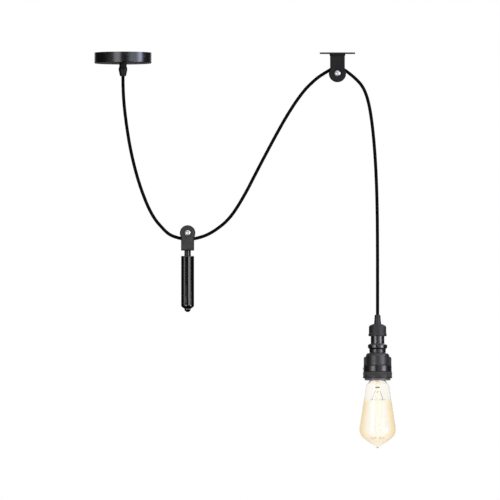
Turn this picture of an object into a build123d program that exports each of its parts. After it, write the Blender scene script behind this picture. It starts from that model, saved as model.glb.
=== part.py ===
from build123d import *
import os
from math import acos, asin, atan2, cos, hypot, pi, radians, sin, sqrt, tan

# Rise-and-fall pendant lamp: canopy, cord, counterweight on a pulley, ceiling pulley, lampholder and bulb.
# Millimetres. The origin is the canopy's centre on the ceiling, +Z is up, +X runs to the ceiling pulley.

# Cord and the fits that all pieces share
CORD_DIA = 5.8
CORD_FIT = 0.1
FIXED_FIT = 0.05
RUNNING_FIT = 0.05
CORE_DIA = 1.9
CORE_PITCH = 2.3
CORE_END_RUN = 4.0

# Canopy
CANOPY_DIA = 100.0
CANOPY_HEIGHT = 19.0
CANOPY_WALL = 1.2
CANOPY_EDGE_ROUND = 2.0
BAR_WIDTH = 16.0
BAR_THICKNESS = 1.5
BAR_LEG = 13.0
BAR_END_GAP = 0.3
BAR_CABLE_HOLE_DIA = 12.0
BAR_SLOT_SPACING = 70.0
BAR_SLOT_LENGTH = 10.0
BAR_SLOT_WIDTH = 5.0
SIDE_SCREW_DIA = 4.0
SIDE_SCREW_LENGTH = 6.0
SIDE_SCREW_DROP = 8.5
SIDE_SCREW_SINK = 0.2
SIDE_SCREW_KEY = 2.0

# Cord grip under the canopy
GRIP_THREAD_DIA = 10.0
GRIP_THREAD_RISE = 9.0
GRIP_COLLAR_DIA = 13.0
GRIP_COLLAR_HEIGHT = 6.0
GRIP_SPIGOT_DIA = 9.0
GRIP_SPIGOT_LENGTH = 8.0
GRIP_NUT_TOP_DIA = 13.8
GRIP_NUT_WIDE_DIA = 15.6
GRIP_NUT_WIDE_DROP = 4.4
GRIP_NUT_MOUTH_DIA = 10.6
GRIP_NUT_LENGTH = 16.2
GRIP_MOUTH_WALL = 2.6
GRIP_CONE_LENGTH = 1.8
GRIP_LOCKNUT_FLATS = 14.0
GRIP_LOCKNUT_HEIGHT = 3.0
CORD_TAIL_PROUD = 1.5

# Terminal block on the bar
TERMINAL_START = 11.0
TERMINAL_LENGTH = 17.0
TERMINAL_WIDTH = 17.0
TERMINAL_HEIGHT = 12.0
TERMINAL_PITCH = 8.5
INSERT_DIA = 5.0
INSERT_BORE_DIA = 3.0
TERMINAL_SCREW_DIA = 3.0
TERMINAL_SCREW_INSET = 4.0
TERMINAL_SCREW_SINK = 0.5
FIXING_SCREW_DIA = 3.0
FIXING_HEAD_DIA = 5.5
FIXING_HEAD_HEIGHT = 1.8
CORE_REACH = 6.5

# Pulley blocks and sheaves
PULLEY_X = 375.5
PITCH_RADIUS = 12.0
SHEAVE_WIDTH = 9.0
SHEAVE_LIP = 1.3
SHEAVE_LIP_FLARE = 0.4
CORD_SEAT_GAP = 0.3
WASHER_THICKNESS = 0.4
WASHER_DIA = 11.0
SIDE_PLAY = 0.1
CHEEK_THICKNESS = 4.0
SLOT_SPARE = 7.1
ROUND_END_PROUD = 2.2
WAIST_ROUND = 4.0
CHEEK_EDGE_ROUND = 2.0
AXLE_DIA = 6.0
AXLE_HEAD_DIA = 10.5
AXLE_HEAD_HEIGHT = 3.0
AXLE_HEAD_EDGE = 0.6
AXLE_RECESS_DIA = 15.0
AXLE_RECESS_DEPTH = 0.6
AXLE_NUT_FLATS = 10.0
AXLE_NUT_HEIGHT = 5.0
AXLE_END_PROUD = 1.0

# Ceiling pulley
PLATE_LENGTH = 62.0
PLATE_WIDTH = 25.0
PLATE_THICKNESS = 2.0
PLATE_CORNER = 4.0
PLATE_HOLE_SPACING = 45.0
PLATE_HOLE_DIA = 5.0
CEILING_BLOCK_WIDTH = 25.7
CEILING_BRIDGE = 12.5
FOOT_PROUD = 0.9
FOOT_HEIGHT = 3.5
PLATE_SCREW_DIA = 3.0
PLATE_SCREW_HEAD_DIA = 5.8
PLATE_SCREW_LENGTH = 10.0
PLATE_SCREW_SPACING = 14.0
PLATE_SCREW_SLOT = 0.7

# Counterweight
WEIGHT_X = 113.2
WEIGHT_AXLE_DROP = 316.0
WEIGHT_BLOCK_WIDTH = 22.8
WEIGHT_BRIDGE = 8.5
STUD_DIA = 11.5
STUD_SHOW = 9.6
STUD_THREAD_DIA = 8.0
STUD_THREAD_LENGTH = 6.5
WEIGHT_DIA = 22.9
WEIGHT_LENGTH = 86.0
WEIGHT_TAPER = 6.2
WEIGHT_FOOT_DIA = 12.6
WEIGHT_EDGE_ROUND = 1.2
WEIGHT_SHOULDER_DROP = 2.6
WEIGHT_SHOULDER_ROUND = 4.0
KNOB_DIA = 11.2
KNOB_RISE = 0.4
KNOB_ROUND_SHARE = 0.96
KNOB_SPIGOT_DIA = 6.0
KNOB_SPIGOT_LENGTH = 8.0

# Lampholder, from the cord grip's mouth downwards
LAMP_X = 445.6
LAMP_DROP = 459.0
LAMP_GRIP_LENGTH = 16.0
LAMP_GRIP_MOUTH_DIA = 9.8
LAMP_GRIP_FOOT_DIA = 12.4
LAMP_SPIGOT_DIA = 8.3
LAMP_SPIGOT_RISE = 8.8
LAMP_SPIGOT_DEPTH = 9.0
LAMP_LOCKNUT_FLATS = 13.0
LAMP_LOCKNUT_HEIGHT = 3.0
CAP_HEIGHT = 21.5
CAP_DIA = 30.4
CAP_LIP_DIA = 31.8
CAP_LIP_HEIGHT = 5.0
CAP_CROWN_DIA = 15.0
CAP_CROWN_DROP = 3.4
CAP_SHOULDER_ROUND = 4.5
CAP_TOP_WALL = 3.0
CAP_CAVITY_DIA = 21.0
NIPPLE_DIA = 24.0
NIPPLE_WALL = 2.2
NIPPLE_SHOW = 13.0
NIPPLE_IN_CAP = 12.0
COLLAR_DIA = 34.0
COLLAR_HEIGHT = 9.6
COLLAR_TOP_DIA = 26.0
COLLAR_BEVEL = 2.2
NECK_DIA = 29.0
NECK_HEIGHT = 6.7
NECK_GROOVE = 0.6
BODY_DIA = 41.0
DOME_HEIGHT = 9.2
DOME_ROUND_SHARE = 0.9
BODY_HEIGHT = 13.0
BODY_WALL = 2.2
LUG_PROUD = 3.8
LUG_WIDTH = 10.0
LUG_TOP_ROUND = 3.0
LUG_RISE = 2.6
BAND_PROUD = 4.2
BAND_HEIGHT = 11.0
SPIGOT_PROUD = 1.7
SPIGOT_LENGTH = 7.0
SPIGOT_WALL = 2.2
SET_SCREW_DIA = 3.0
SET_SCREW_PROUD = 1.2
SET_SCREW_GAP = 0.3
RING_HEIGHT = 11.0
RING_PROUD = 0.2
RING_FLANGE_PROUD = 0.8
RING_FLANGE_HEIGHT = 3.6
RING_BORE_DIA = 35.0
RIM_HEIGHT = 3.8
RIM_PROUD = 2.2
TOOTH_COUNT = 24
TOOTH_GAP_WIDTH = 2.6
TOOTH_GAP_REACH = 3.4
TOOTH_GAP_HEIGHT = 3.4

# Screw socket and bulb
SOCKET_DEPTH = 25.1
SOCKET_FLOOR = 9.0
SOCKET_FLANGE_HEIGHT = 5.0
SCREW_SHELL_DIA = 28.4
SCREW_SHELL_WALL = 0.7
SCREW_SHELL_HOLE_DIA = 16.0
CONTACT_DIA = 9.0
CONTACT_THICKNESS = 0.8
CONTACT_GAP = 0.3
SOCKET_SCREW_DIA = 3.0
SOCKET_SCREW_LENGTH = 6.0
SOCKET_SCREW_HEAD_DIA = 6.0
SOCKET_SCREW_HEAD_HEIGHT = 2.2
SOCKET_SCREW_SPACING = 20.0
BULB_DIA = 64.0
BULB_LENGTH = 143.0
BULB_GLASS = 0.9
BASE_DIA = 26.2
BASE_THREAD_DEPTH = 0.9
BASE_THREAD_PITCH = 3.63
BASE_THREAD_TURNS = 4
BASE_BORE_DIA = 22.8
BASE_SKIRT = 1.8
BASE_TIP_DIA = 9.2
BASE_TIP_HEIGHT = 1.7
BASE_CONE_HEIGHT = 4.0
BASE_CONE_SEAT = 2.4
GLASS_NECK_RISE = 7.5
GLASS_NECK_DIA = 26.8
GLASS_NECK_FLARE = 2.4
GLASS_SHOULDER_DIA = 40.4
GLASS_SHOULDER_DROP = 9.5
GLASS_SHOULDER_ROUND = 8.0
GLASS_SIDE_ROUND = 22.0
GLASS_FOOT_ANGLE = 34.0
GLASS_TIP_ROUND = 5.0
EXHAUST_TIP_HEIGHT = 1.4
EXHAUST_TIP_DIA = 4.0
STEM_DIA = 8.4
STEM_LENGTH = 30.0
STEM_FLARE_DROP = 9.0
STEM_WAIST_ROUND = 4.0
STEM_PRESS_HEIGHT = 4.0
STEM_PRESS_ROUND = 3.0
STEM_ROD_DIA = 3.0
STEM_BEAD_DIA = 5.6
CAGE_TOP_DROP = 58.0
CAGE_FOOT_CLEARANCE = 18.0
CAGE_DIA = 24.0
CAGE_HOOKS = 8
WIRE_DIA = 0.7
FILAMENT_DIA = 0.36

# Cord route: free points chosen by hand in the X-Z plane, between the fittings
CORD_END_RUN = 13.0
CORD_TAIL_RUN = 15.0
ENTRY_SLOPE_AT_WEIGHT = 14.0
EXIT_SLOPE_AT_WEIGHT = 12.0
ENTRY_SLOPE_AT_CEILING = 30.0
EXIT_SLOPE_AT_CEILING = 34.0
LAMP_STRETCH = 64.0
CANOPY_EXIT_RUN = 30.0
LAMP_ENTRY_RUN = 60.0
CANOPY_TO_WEIGHT = [(5.0, -120.0), (14.0, -176.0), (29.0, -233.0), (50.0, -285.0), (73.0, -312.0)]
WEIGHT_TO_CEILING = [
    (161.0, -312.0), (187.0, -291.0), (211.5, -252.5), (235.0, -206.5), (262.0, -155.0),
    (288.0, -108.0), (315.0, -68.0), (337.0, -46.5),
]
CEILING_TO_LAMP = [
    (418.5, -56.5), (427.5, -77.0), (433.8, -106.0), (438.8, -148.0), (442.6, -199.0), (444.9, -263.0),
]

# Radii and heights worked out from the sizes above
CORD_RADIUS = CORD_DIA / 2
CORD_BORE = CORD_RADIUS + CORD_FIT
CANOPY_RADIUS = CANOPY_DIA / 2
CANOPY_FLOOR = -CANOPY_HEIGHT + CANOPY_WALL
GRIP_COLLAR_FOOT = -CANOPY_HEIGHT - GRIP_COLLAR_HEIGHT
CANOPY_MOUTH = GRIP_COLLAR_FOOT - GRIP_NUT_LENGTH
SHANK_TOP = -CANOPY_HEIGHT + GRIP_THREAD_RISE
CANOPY_TAIL_TOP = SHANK_TOP + CORD_TAIL_PROUD
TERMINAL_LEVEL = -BAR_THICKNESS - TERMINAL_HEIGHT / 2
TERMINAL_FOOT = -BAR_THICKNESS - TERMINAL_HEIGHT
TERMINAL_MIDDLE = TERMINAL_START + TERMINAL_LENGTH / 2

SLOT_WIDTH = SHEAVE_WIDTH + 2 * WASHER_THICKNESS + 2 * SIDE_PLAY
BLOCK_DEPTH = SLOT_WIDTH + 2 * CHEEK_THICKNESS
SLOT_REACH = PITCH_RADIUS + CORD_RADIUS + SLOT_SPARE
HEAD_SEAT = BLOCK_DEPTH / 2 - AXLE_RECESS_DEPTH
CEILING_AXLE_Z = -PLATE_THICKNESS - CEILING_BRIDGE - SLOT_REACH
WEIGHT_AXLE_Z = -WEIGHT_AXLE_DROP
WEIGHT_BLOCK_FOOT = WEIGHT_AXLE_Z - SLOT_REACH - WEIGHT_BRIDGE
WEIGHT_TOP = WEIGHT_BLOCK_FOOT - STUD_SHOW
WEIGHT_FOOT = WEIGHT_TOP - WEIGHT_LENGTH - WEIGHT_TAPER

LUG_DIA = BODY_DIA + 2 * LUG_PROUD
BAND_DIA = BODY_DIA + 2 * BAND_PROUD
SPIGOT_DIA = BODY_DIA + 2 * SPIGOT_PROUD
RING_DIA = BAND_DIA + 2 * RING_PROUD
RING_FLANGE_DIA = RING_DIA + 2 * RING_FLANGE_PROUD
RIM_DIA = BODY_DIA + 2 * RIM_PROUD
DOME_ROUND = DOME_ROUND_SHARE * (BODY_DIA - NECK_DIA) / 2

LAMP_MOUTH = -LAMP_DROP
CAP_TOP = LAMP_MOUTH - LAMP_GRIP_LENGTH
CAP_FOOT = CAP_TOP - CAP_HEIGHT
COLLAR_TOP = CAP_FOOT - NIPPLE_SHOW
NECK_TOP = COLLAR_TOP - COLLAR_HEIGHT
DOME_TOP = NECK_TOP - NECK_HEIGHT
BODY_TOP = DOME_TOP - DOME_HEIGHT
BAND_TOP = BODY_TOP - BODY_HEIGHT
RING_TOP = BAND_TOP - BAND_HEIGHT
SHELL_FOOT = RING_TOP - SPIGOT_LENGTH
RIM_TOP = RING_TOP - RING_HEIGHT
RIM_FOOT = RIM_TOP - RIM_HEIGHT
SOCKET_FLOOR_Z = RIM_FOOT + SOCKET_DEPTH
SOCKET_TOP = SOCKET_FLOOR_Z + SOCKET_FLOOR
LAMP_TAIL_FOOT = CAP_TOP - LAMP_SPIGOT_DEPTH - CORD_TAIL_PROUD
BULB_TOP = SOCKET_FLOOR_Z - CONTACT_THICKNESS - CONTACT_GAP
BULB_FOOT = BULB_TOP - BULB_LENGTH
BASE_CONE_TOP = BULB_TOP - BASE_TIP_HEIGHT
BASE_SHELL_TOP = BASE_CONE_TOP - BASE_CONE_HEIGHT
BASE_SHELL_FOOT = BASE_SHELL_TOP - BASE_THREAD_PITCH * BASE_THREAD_TURNS - BASE_SKIRT
CAGE_HEIGHT = BULB_LENGTH - CAGE_TOP_DROP - CAGE_FOOT_CLEARANCE
CAGE_TOP = BULB_TOP - CAGE_TOP_DROP
CAGE_FOOT = CAGE_TOP - CAGE_HEIGHT


# Shape helpers
def turned(points, x=0.0):
    """Solid turned about an upright axis at x, from (radius, height, optional corner round) points."""
    corners = [(point[0], 0, point[1]) for point in points]
    rounds = [point[2] if len(point) > 2 else 0 for point in points]
    outline = make_face(FilletPolyline(*corners, radius=rounds, close=True))
    return Pos(x, 0, 0) * revolve(outline, Axis.Z)


def rod(start, end, diameter):
    """Round bar between two points."""
    line = Vector(*end) - Vector(*start)
    return Solid.make_cylinder(diameter / 2, line.length, Plane(Vector(*start), z_dir=line))


def hex_nut(flats, height, bore_dia, foot, x=0.0):
    """Hexagon nut whose lower face is at the height given by foot."""
    outline = RegularPolygon(flats / 2, 6, major_radius=False) - Circle(bore_dia / 2 + FIXED_FIT)
    return Pos(x, 0, foot) * extrude(outline, height)


def corner_radii(points):
    """Arc radius at each inner point: 0.45 of the shorter run over the tangent of half the turn."""
    radii = []
    for before, here, after in zip(points, points[1:], points[2:]):
        turn = (here - before).get_angle(after - here)
        shorter = min((here - before).length, (after - here).length)
        radii.append(0.45 * shorter / tan(radians(turn / 2)))
    return radii


def tube(points, diameter, radii=None):
    """Round tube along straight runs joined by tangent arcs; returns the solid and its centre line."""
    points = [Vector(*point) for point in points]
    if len(points) == 2:
        line = Line(*points)
    else:
        line = FilletPolyline(*points, radius=radii or corner_radii(points))
    return sweep(Plane(line @ 0, z_dir=line % 0) * Circle(diameter / 2), path=line), line


def save(node, *solids):
    """Writes the solids of one node."""
    bodies = [solid for shape in solids for solid in shape.solids()]
    shape = bodies[0] if len(bodies) == 1 else Compound(bodies)
    shape.label = node
    export_step(shape, f"parts/{node}.step")


os.makedirs("parts", exist_ok=True)


# Canopy: pressed cup over a mounting bar, held by a flush screw at each end of the bar
def canopy_cup():
    radius = CANOPY_RADIUS
    hole = GRIP_THREAD_DIA / 2 + FIXED_FIT
    cup = turned([
        (radius, 0), (radius, -CANOPY_HEIGHT, CANOPY_EDGE_ROUND),
        (hole, -CANOPY_HEIGHT), (hole, CANOPY_FLOOR),
        (radius - CANOPY_WALL, CANOPY_FLOOR, CANOPY_EDGE_ROUND - CANOPY_WALL / 2), (radius - CANOPY_WALL, 0),
    ])
    return cup - side_screw_holes()


def side_screw_holes():
    reach = CANOPY_RADIUS + CANOPY_WALL
    return rod((-reach, 0, -SIDE_SCREW_DROP), (reach, 0, -SIDE_SCREW_DROP), SIDE_SCREW_DIA + 2 * FIXED_FIT)


def mounting_bar():
    end = sqrt((CANOPY_RADIUS - CANOPY_WALL) ** 2 - (BAR_WIDTH / 2) ** 2) - BAR_END_GAP
    inner = end - BAR_THICKNESS
    bend = BAR_THICKNESS
    strip = FilletPolyline(
        (-end, 0, 0), (end, 0, 0), (end, 0, -BAR_LEG), (inner, 0, -BAR_LEG), (inner, 0, -BAR_THICKNESS),
        (-inner, 0, -BAR_THICKNESS), (-inner, 0, -BAR_LEG), (-end, 0, -BAR_LEG),
        radius=[bend, bend, 0, 0, bend / 3, bend / 3, 0, 0], close=True,
    )
    bar = extrude(make_face(strip), BAR_WIDTH / 2, dir=(0, 1, 0), both=True)
    slot = Pos(0, 0, -BAR_THICKNESS) * extrude(SlotOverall(BAR_SLOT_LENGTH, BAR_SLOT_WIDTH), BAR_THICKNESS)
    bar -= Pos(BAR_SLOT_SPACING / 2, 0, 0) * slot
    bar -= Pos(-BAR_SLOT_SPACING / 2, 0, 0) * slot
    bar -= rod((0, 0, -BAR_THICKNESS), (0, 0, 0), BAR_CABLE_HOLE_DIA)
    shaft = FIXING_SCREW_DIA + 2 * FIXED_FIT
    bar -= rod((TERMINAL_MIDDLE, 0, -BAR_THICKNESS), (TERMINAL_MIDDLE, 0, 0), shaft)
    return bar - side_screw_holes()


def side_screw(side):
    outer = CANOPY_RADIUS - SIDE_SCREW_SINK
    screw = rod((outer - SIDE_SCREW_LENGTH, 0, 0), (outer, 0, 0), SIDE_SCREW_DIA)
    hexagon = RegularPolygon(SIDE_SCREW_KEY / 2, 6, major_radius=False)
    key = extrude(Plane.YZ.offset(outer) * hexagon, -SIDE_SCREW_KEY)
    return Rot(0, 0, 0 if side > 0 else 180) * (Pos(0, 0, -SIDE_SCREW_DROP) * (screw - key))


save("canopy_cup", canopy_cup())
save("canopy_mounting_bar", mounting_bar())
save("canopy_side_screws", side_screw(1), side_screw(-1))


# Cord grip of the canopy: threaded body, locknut inside, tapered nut and collet round the cord
def grip_body():
    shank, collar, spigot = GRIP_THREAD_DIA / 2, GRIP_COLLAR_DIA / 2, GRIP_SPIGOT_DIA / 2
    foot = GRIP_COLLAR_FOOT - GRIP_SPIGOT_LENGTH
    return turned([
        (CORD_BORE, SHANK_TOP), (shank, SHANK_TOP, 0.3), (shank, -CANOPY_HEIGHT), (collar, -CANOPY_HEIGHT),
        (collar, GRIP_COLLAR_FOOT, 0.4), (spigot, GRIP_COLLAR_FOOT), (spigot, foot), (CORD_BORE, foot),
    ])


def grip_nut():
    bore = GRIP_SPIGOT_DIA / 2 + FIXED_FIT
    cone_foot = CANOPY_MOUTH + GRIP_MOUTH_WALL
    return turned([
        (bore, GRIP_COLLAR_FOOT), (GRIP_NUT_TOP_DIA / 2, GRIP_COLLAR_FOOT, 0.4),
        (GRIP_NUT_WIDE_DIA / 2, GRIP_COLLAR_FOOT - GRIP_NUT_WIDE_DROP, 1.6),
        (GRIP_NUT_MOUTH_DIA / 2, CANOPY_MOUTH, 1.0), (CORD_BORE, CANOPY_MOUTH), (CORD_BORE, cone_foot),
        (bore, cone_foot + GRIP_CONE_LENGTH),
    ])


def grip_collet():
    outer = GRIP_SPIGOT_DIA / 2
    top = GRIP_COLLAR_FOOT - GRIP_SPIGOT_LENGTH - FIXED_FIT
    foot = CANOPY_MOUTH + GRIP_MOUTH_WALL + 3 * FIXED_FIT
    cone_top = foot + GRIP_CONE_LENGTH
    return turned([
        (CORD_BORE, top), (outer, top), (outer, cone_top), (CORD_BORE + FIXED_FIT, foot), (CORD_BORE, foot),
    ])


save("canopy_grip_body", grip_body())
save("canopy_grip_nut", grip_nut())
save("canopy_grip_collet", grip_collet())
save("canopy_grip_locknut", hex_nut(GRIP_LOCKNUT_FLATS, GRIP_LOCKNUT_HEIGHT, GRIP_THREAD_DIA, CANOPY_FLOOR))
save("canopy_cord_end", rod((0, 0, CANOPY_MOUTH), (0, 0, CANOPY_TAIL_TOP), CORD_DIA))


# Terminal block under the bar, with brass inserts, clamping screws and the two cores
def terminal_places():
    ends = (TERMINAL_START + TERMINAL_SCREW_INSET, TERMINAL_START + TERMINAL_LENGTH - TERMINAL_SCREW_INSET)
    return [(x, side * TERMINAL_PITCH / 2) for x in ends for side in (-1, 1)]


def terminal_block():
    middle = (TERMINAL_MIDDLE, 0, TERMINAL_LEVEL)
    block = Pos(*middle) * Box(TERMINAL_LENGTH, TERMINAL_WIDTH, TERMINAL_HEIGHT)
    block = chamfer(block.edges().filter_by(Axis.X), 0.8)
    for side in (-1, 1):
        block -= insert_bar(side, INSERT_DIA + 2 * FIXED_FIT)
    for x, y in terminal_places():
        block -= rod((x, y, TERMINAL_FOOT), (x, y, TERMINAL_LEVEL), TERMINAL_SCREW_DIA + 2 * FIXED_FIT)
    shaft = FIXING_SCREW_DIA + 2 * FIXED_FIT
    return block - rod((TERMINAL_MIDDLE, 0, TERMINAL_FOOT), (TERMINAL_MIDDLE, 0, -BAR_THICKNESS), shaft)


def insert_bar(side, diameter):
    y = side * TERMINAL_PITCH / 2
    end = TERMINAL_START + TERMINAL_LENGTH
    return rod((TERMINAL_START, y, TERMINAL_LEVEL), (end, y, TERMINAL_LEVEL), diameter)


def terminal_insert(side):
    insert = insert_bar(side, INSERT_DIA) - insert_bar(side, INSERT_BORE_DIA)
    for x, y in terminal_places():
        insert -= rod((x, y, TERMINAL_FOOT), (x, y, TERMINAL_LEVEL), TERMINAL_SCREW_DIA + 2 * FIXED_FIT)
    return insert


def terminal_screw(x, y):
    head = TERMINAL_FOOT + TERMINAL_SCREW_SINK
    tip = TERMINAL_LEVEL - CORE_DIA / 2 - FIXED_FIT
    slot = Pos(x, y, head) * Box(TERMINAL_SCREW_DIA, 0.6, 1.2)
    return rod((x, y, head), (x, y, tip), TERMINAL_SCREW_DIA) - slot


def fixing_screw():
    head = FIXING_HEAD_DIA / 2
    shaft = FIXING_SCREW_DIA / 2
    foot = TERMINAL_FOOT - FIXING_HEAD_HEIGHT
    screw = turned([
        (0, foot), (head, foot, 0.8), (head, TERMINAL_FOOT), (shaft, TERMINAL_FOOT),
        (shaft, -FIXED_FIT), (0, -FIXED_FIT),
    ], TERMINAL_MIDDLE)
    return screw - Pos(TERMINAL_MIDDLE, 0, foot) * Box(FIXING_HEAD_DIA, 0.8, FIXING_HEAD_HEIGHT)


def canopy_core(side):
    y = side * CORE_PITCH / 2
    end_y = side * TERMINAL_PITCH / 2
    rise = CANOPY_TAIL_TOP + 3.4
    route = [
        (0, y, CANOPY_TAIL_TOP), (0, y, rise), (TERMINAL_START - CORE_END_RUN, end_y, TERMINAL_LEVEL),
        (TERMINAL_START + CORE_REACH, end_y, TERMINAL_LEVEL),
    ]
    return tube(route, CORE_DIA, [CORE_DIA, CORE_DIA])[0]


save("terminal_block", terminal_block())
save("terminal_inserts", terminal_insert(-1), terminal_insert(1))
save("terminal_screws", *[terminal_screw(x, y) for x, y in terminal_places()])
save("terminal_fixing_screw", fixing_screw())
save("canopy_core_live", canopy_core(1))
save("canopy_core_neutral", canopy_core(-1))


# Pulleys: a forked block with a sheave on a bolt. The axle is at the origin, the bridge lies towards +Z.
def pulley_block(width, bridge):
    reach = SLOT_REACH + bridge
    end = width / 2 + ROUND_END_PROUD
    profile = Circle(end) + Pos(0, reach / 2) * Rectangle(width, reach)
    waist = [corner for corner in profile.vertices() if 0 < corner.Y < end]
    profile = fillet(waist, WAIST_ROUND)
    block = extrude(Plane.XZ * profile, BLOCK_DEPTH / 2, both=True)
    rims = block.faces().sort_by(Axis.Y)
    block = fillet(rims[0].edges() + rims[-1].edges(), CHEEK_EDGE_ROUND)
    slot_height = end + SLOT_REACH
    block -= Pos(0, 0, SLOT_REACH - slot_height / 2) * Box(2 * end, SLOT_WIDTH, slot_height)
    block -= across(0, BLOCK_DEPTH, AXLE_DIA + 2 * FIXED_FIT)
    for side in (-1, 1):
        block -= across(side * BLOCK_DEPTH / 2, 2 * AXLE_RECESS_DEPTH, AXLE_RECESS_DIA)
    return block


def across(y, length, diameter):
    """Bar along the axle's line, centred at y."""
    return rod((0, y - length / 2, 0), (0, y + length / 2, 0), diameter)


def axle_bolt():
    """Bolt with a plain domed head."""
    head, shaft = AXLE_HEAD_DIA / 2, AXLE_DIA / 2
    top = HEAD_SEAT + AXLE_HEAD_HEIGHT
    edge = HEAD_SEAT + AXLE_HEAD_EDGE
    tip = HEAD_SEAT + AXLE_NUT_HEIGHT + AXLE_END_PROUD
    ball = (head ** 2 + (top - edge) ** 2) / (top - edge) / 2
    halfway = asin(head / ball) / 2
    bend = (ball * sin(halfway), 0, top - ball + ball * cos(halfway))
    dome = ThreePointArc((0, 0, top), bend, (head, 0, edge))
    rest = Polyline(
        (head, 0, edge), (head, 0, HEAD_SEAT), (shaft, 0, HEAD_SEAT), (shaft, 0, -tip + AXLE_END_PROUD / 2),
        (shaft - AXLE_END_PROUD / 2, 0, -tip), (0, 0, -tip), (0, 0, top),
    )
    return Rot(90, 0, 0) * revolve(make_face([dome.edge()] + list(rest.edges())), Axis.Z)


def axle_nut():
    return Rot(90, 0, 0) * hex_nut(AXLE_NUT_FLATS, AXLE_NUT_HEIGHT, AXLE_DIA, -HEAD_SEAT - AXLE_NUT_HEIGHT)


def sheave():
    half = SHEAVE_WIDTH / 2
    groove = CORD_RADIUS + CORD_SEAT_GAP
    rim = PITCH_RADIUS + SHEAVE_LIP
    lip = groove + SHEAVE_LIP_FLARE
    bore = AXLE_DIA / 2 + RUNNING_FIT
    bed = PITCH_RADIUS - groove
    seat = ThreePointArc((PITCH_RADIUS, 0, groove), (bed, 0, 0), (PITCH_RADIUS, 0, -groove))
    rest = Polyline(
        (PITCH_RADIUS, 0, -groove), (rim, 0, -lip), (rim, 0, -half), (bore, 0, -half),
        (bore, 0, half), (rim, 0, half), (rim, 0, lip), (PITCH_RADIUS, 0, groove),
    )
    return Rot(90, 0, 0) * revolve(make_face([seat.edge()] + list(rest.edges())), Axis.Z)


def washer(side):
    middle = side * (SLOT_WIDTH - WASHER_THICKNESS) / 2
    ring = across(middle, WASHER_THICKNESS, WASHER_DIA)
    return ring - across(middle, WASHER_THICKNESS, AXLE_DIA + 2 * FIXED_FIT)


def save_pulley(name, place, block):
    save(f"{name}_block", place * block)
    save(f"{name}_axle_bolt", place * axle_bolt())
    save(f"{name}_axle_nut", place * axle_nut())
    save(f"{name}_sheave", place * sheave())
    save(f"{name}_washers", place * washer(-1), place * washer(1))


# Ceiling pulley: the block hangs from a plate by two countersunk screws
def plate_screw():
    head, shaft = PLATE_SCREW_HEAD_DIA / 2, PLATE_SCREW_DIA / 2
    screw = turned([
        (0, 0), (head, 0), (shaft, shaft - head), (shaft, -PLATE_SCREW_LENGTH), (0, -PLATE_SCREW_LENGTH),
    ])
    return screw - Box(PLATE_SCREW_HEAD_DIA, PLATE_SCREW_SLOT, 2 * PLATE_SCREW_SLOT)


def plate_screw_hole():
    head = PLATE_SCREW_HEAD_DIA / 2 + FIXED_FIT
    shaft = PLATE_SCREW_DIA / 2 + FIXED_FIT
    foot = -PLATE_SCREW_LENGTH - FIXED_FIT
    return turned([(0, 0), (head, 0), (shaft, shaft - head), (shaft, foot), (0, foot)])


def screw_pair(shape):
    return [Pos(PULLEY_X + side * PLATE_SCREW_SPACING / 2, 0, 0) * shape for side in (-1, 1)]


def pulley_plate():
    outline = RectangleRounded(PLATE_LENGTH, PLATE_WIDTH, PLATE_CORNER)
    plate = Pos(PULLEY_X, 0, -PLATE_THICKNESS) * extrude(outline, PLATE_THICKNESS)
    for side in (-1, 1):
        x = PULLEY_X + side * PLATE_HOLE_SPACING / 2
        plate -= rod((x, 0, -PLATE_THICKNESS), (x, 0, 0), PLATE_HOLE_DIA)
    for hole in screw_pair(plate_screw_hole()):
        plate -= hole
    return plate


def ceiling_block():
    block = pulley_block(CEILING_BLOCK_WIDTH, CEILING_BRIDGE)
    foot = Box(CEILING_BLOCK_WIDTH + 2 * FOOT_PROUD, BLOCK_DEPTH + 2 * FOOT_PROUD, FOOT_HEIGHT)
    foot = chamfer(foot.faces().sort_by(Axis.Z)[0].edges(), FOOT_PROUD)
    block += Pos(0, 0, SLOT_REACH + CEILING_BRIDGE - FOOT_HEIGHT / 2) * foot
    to_ceiling = Pos(-PULLEY_X, 0, -CEILING_AXLE_Z)
    for hole in screw_pair(plate_screw_hole()):
        block -= to_ceiling * hole
    return block


save("pulley_plate", pulley_plate())
save("pulley_plate_screws", *screw_pair(plate_screw()))
save_pulley("ceiling", Pos(PULLEY_X, 0, CEILING_AXLE_Z), ceiling_block())


# Counterweight: the same fork upside down, a stud, the weight and its end knob
def stud():
    shoulder, thread = STUD_DIA / 2, STUD_THREAD_DIA / 2
    top = WEIGHT_BLOCK_FOOT + STUD_THREAD_LENGTH
    foot = WEIGHT_TOP - STUD_THREAD_LENGTH
    return turned([
        (0, top), (thread, top, 0.5), (thread, WEIGHT_BLOCK_FOOT), (shoulder, WEIGHT_BLOCK_FOOT, 0.5),
        (shoulder, WEIGHT_TOP, 0.5), (thread, WEIGHT_TOP), (thread, foot, 0.5), (0, foot),
    ], WEIGHT_X)


def weight_cylinder():
    radius = WEIGHT_DIA / 2
    straight = WEIGHT_TOP - WEIGHT_LENGTH - WEIGHT_SHOULDER_DROP
    weight = turned([
        (0, WEIGHT_TOP), (radius, WEIGHT_TOP, WEIGHT_EDGE_ROUND), (radius, straight, WEIGHT_SHOULDER_ROUND),
        (WEIGHT_FOOT_DIA / 2, WEIGHT_FOOT, 0.4), (0, WEIGHT_FOOT),
    ], WEIGHT_X)
    thread = (WEIGHT_X, 0, WEIGHT_TOP - STUD_THREAD_LENGTH - FIXED_FIT)
    weight -= rod(thread, (WEIGHT_X, 0, WEIGHT_TOP), STUD_THREAD_DIA + 2 * FIXED_FIT)
    spigot = (WEIGHT_X, 0, WEIGHT_FOOT + KNOB_SPIGOT_LENGTH + FIXED_FIT)
    return weight - rod((WEIGHT_X, 0, WEIGHT_FOOT), spigot, KNOB_SPIGOT_DIA + 2 * FIXED_FIT)


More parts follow.
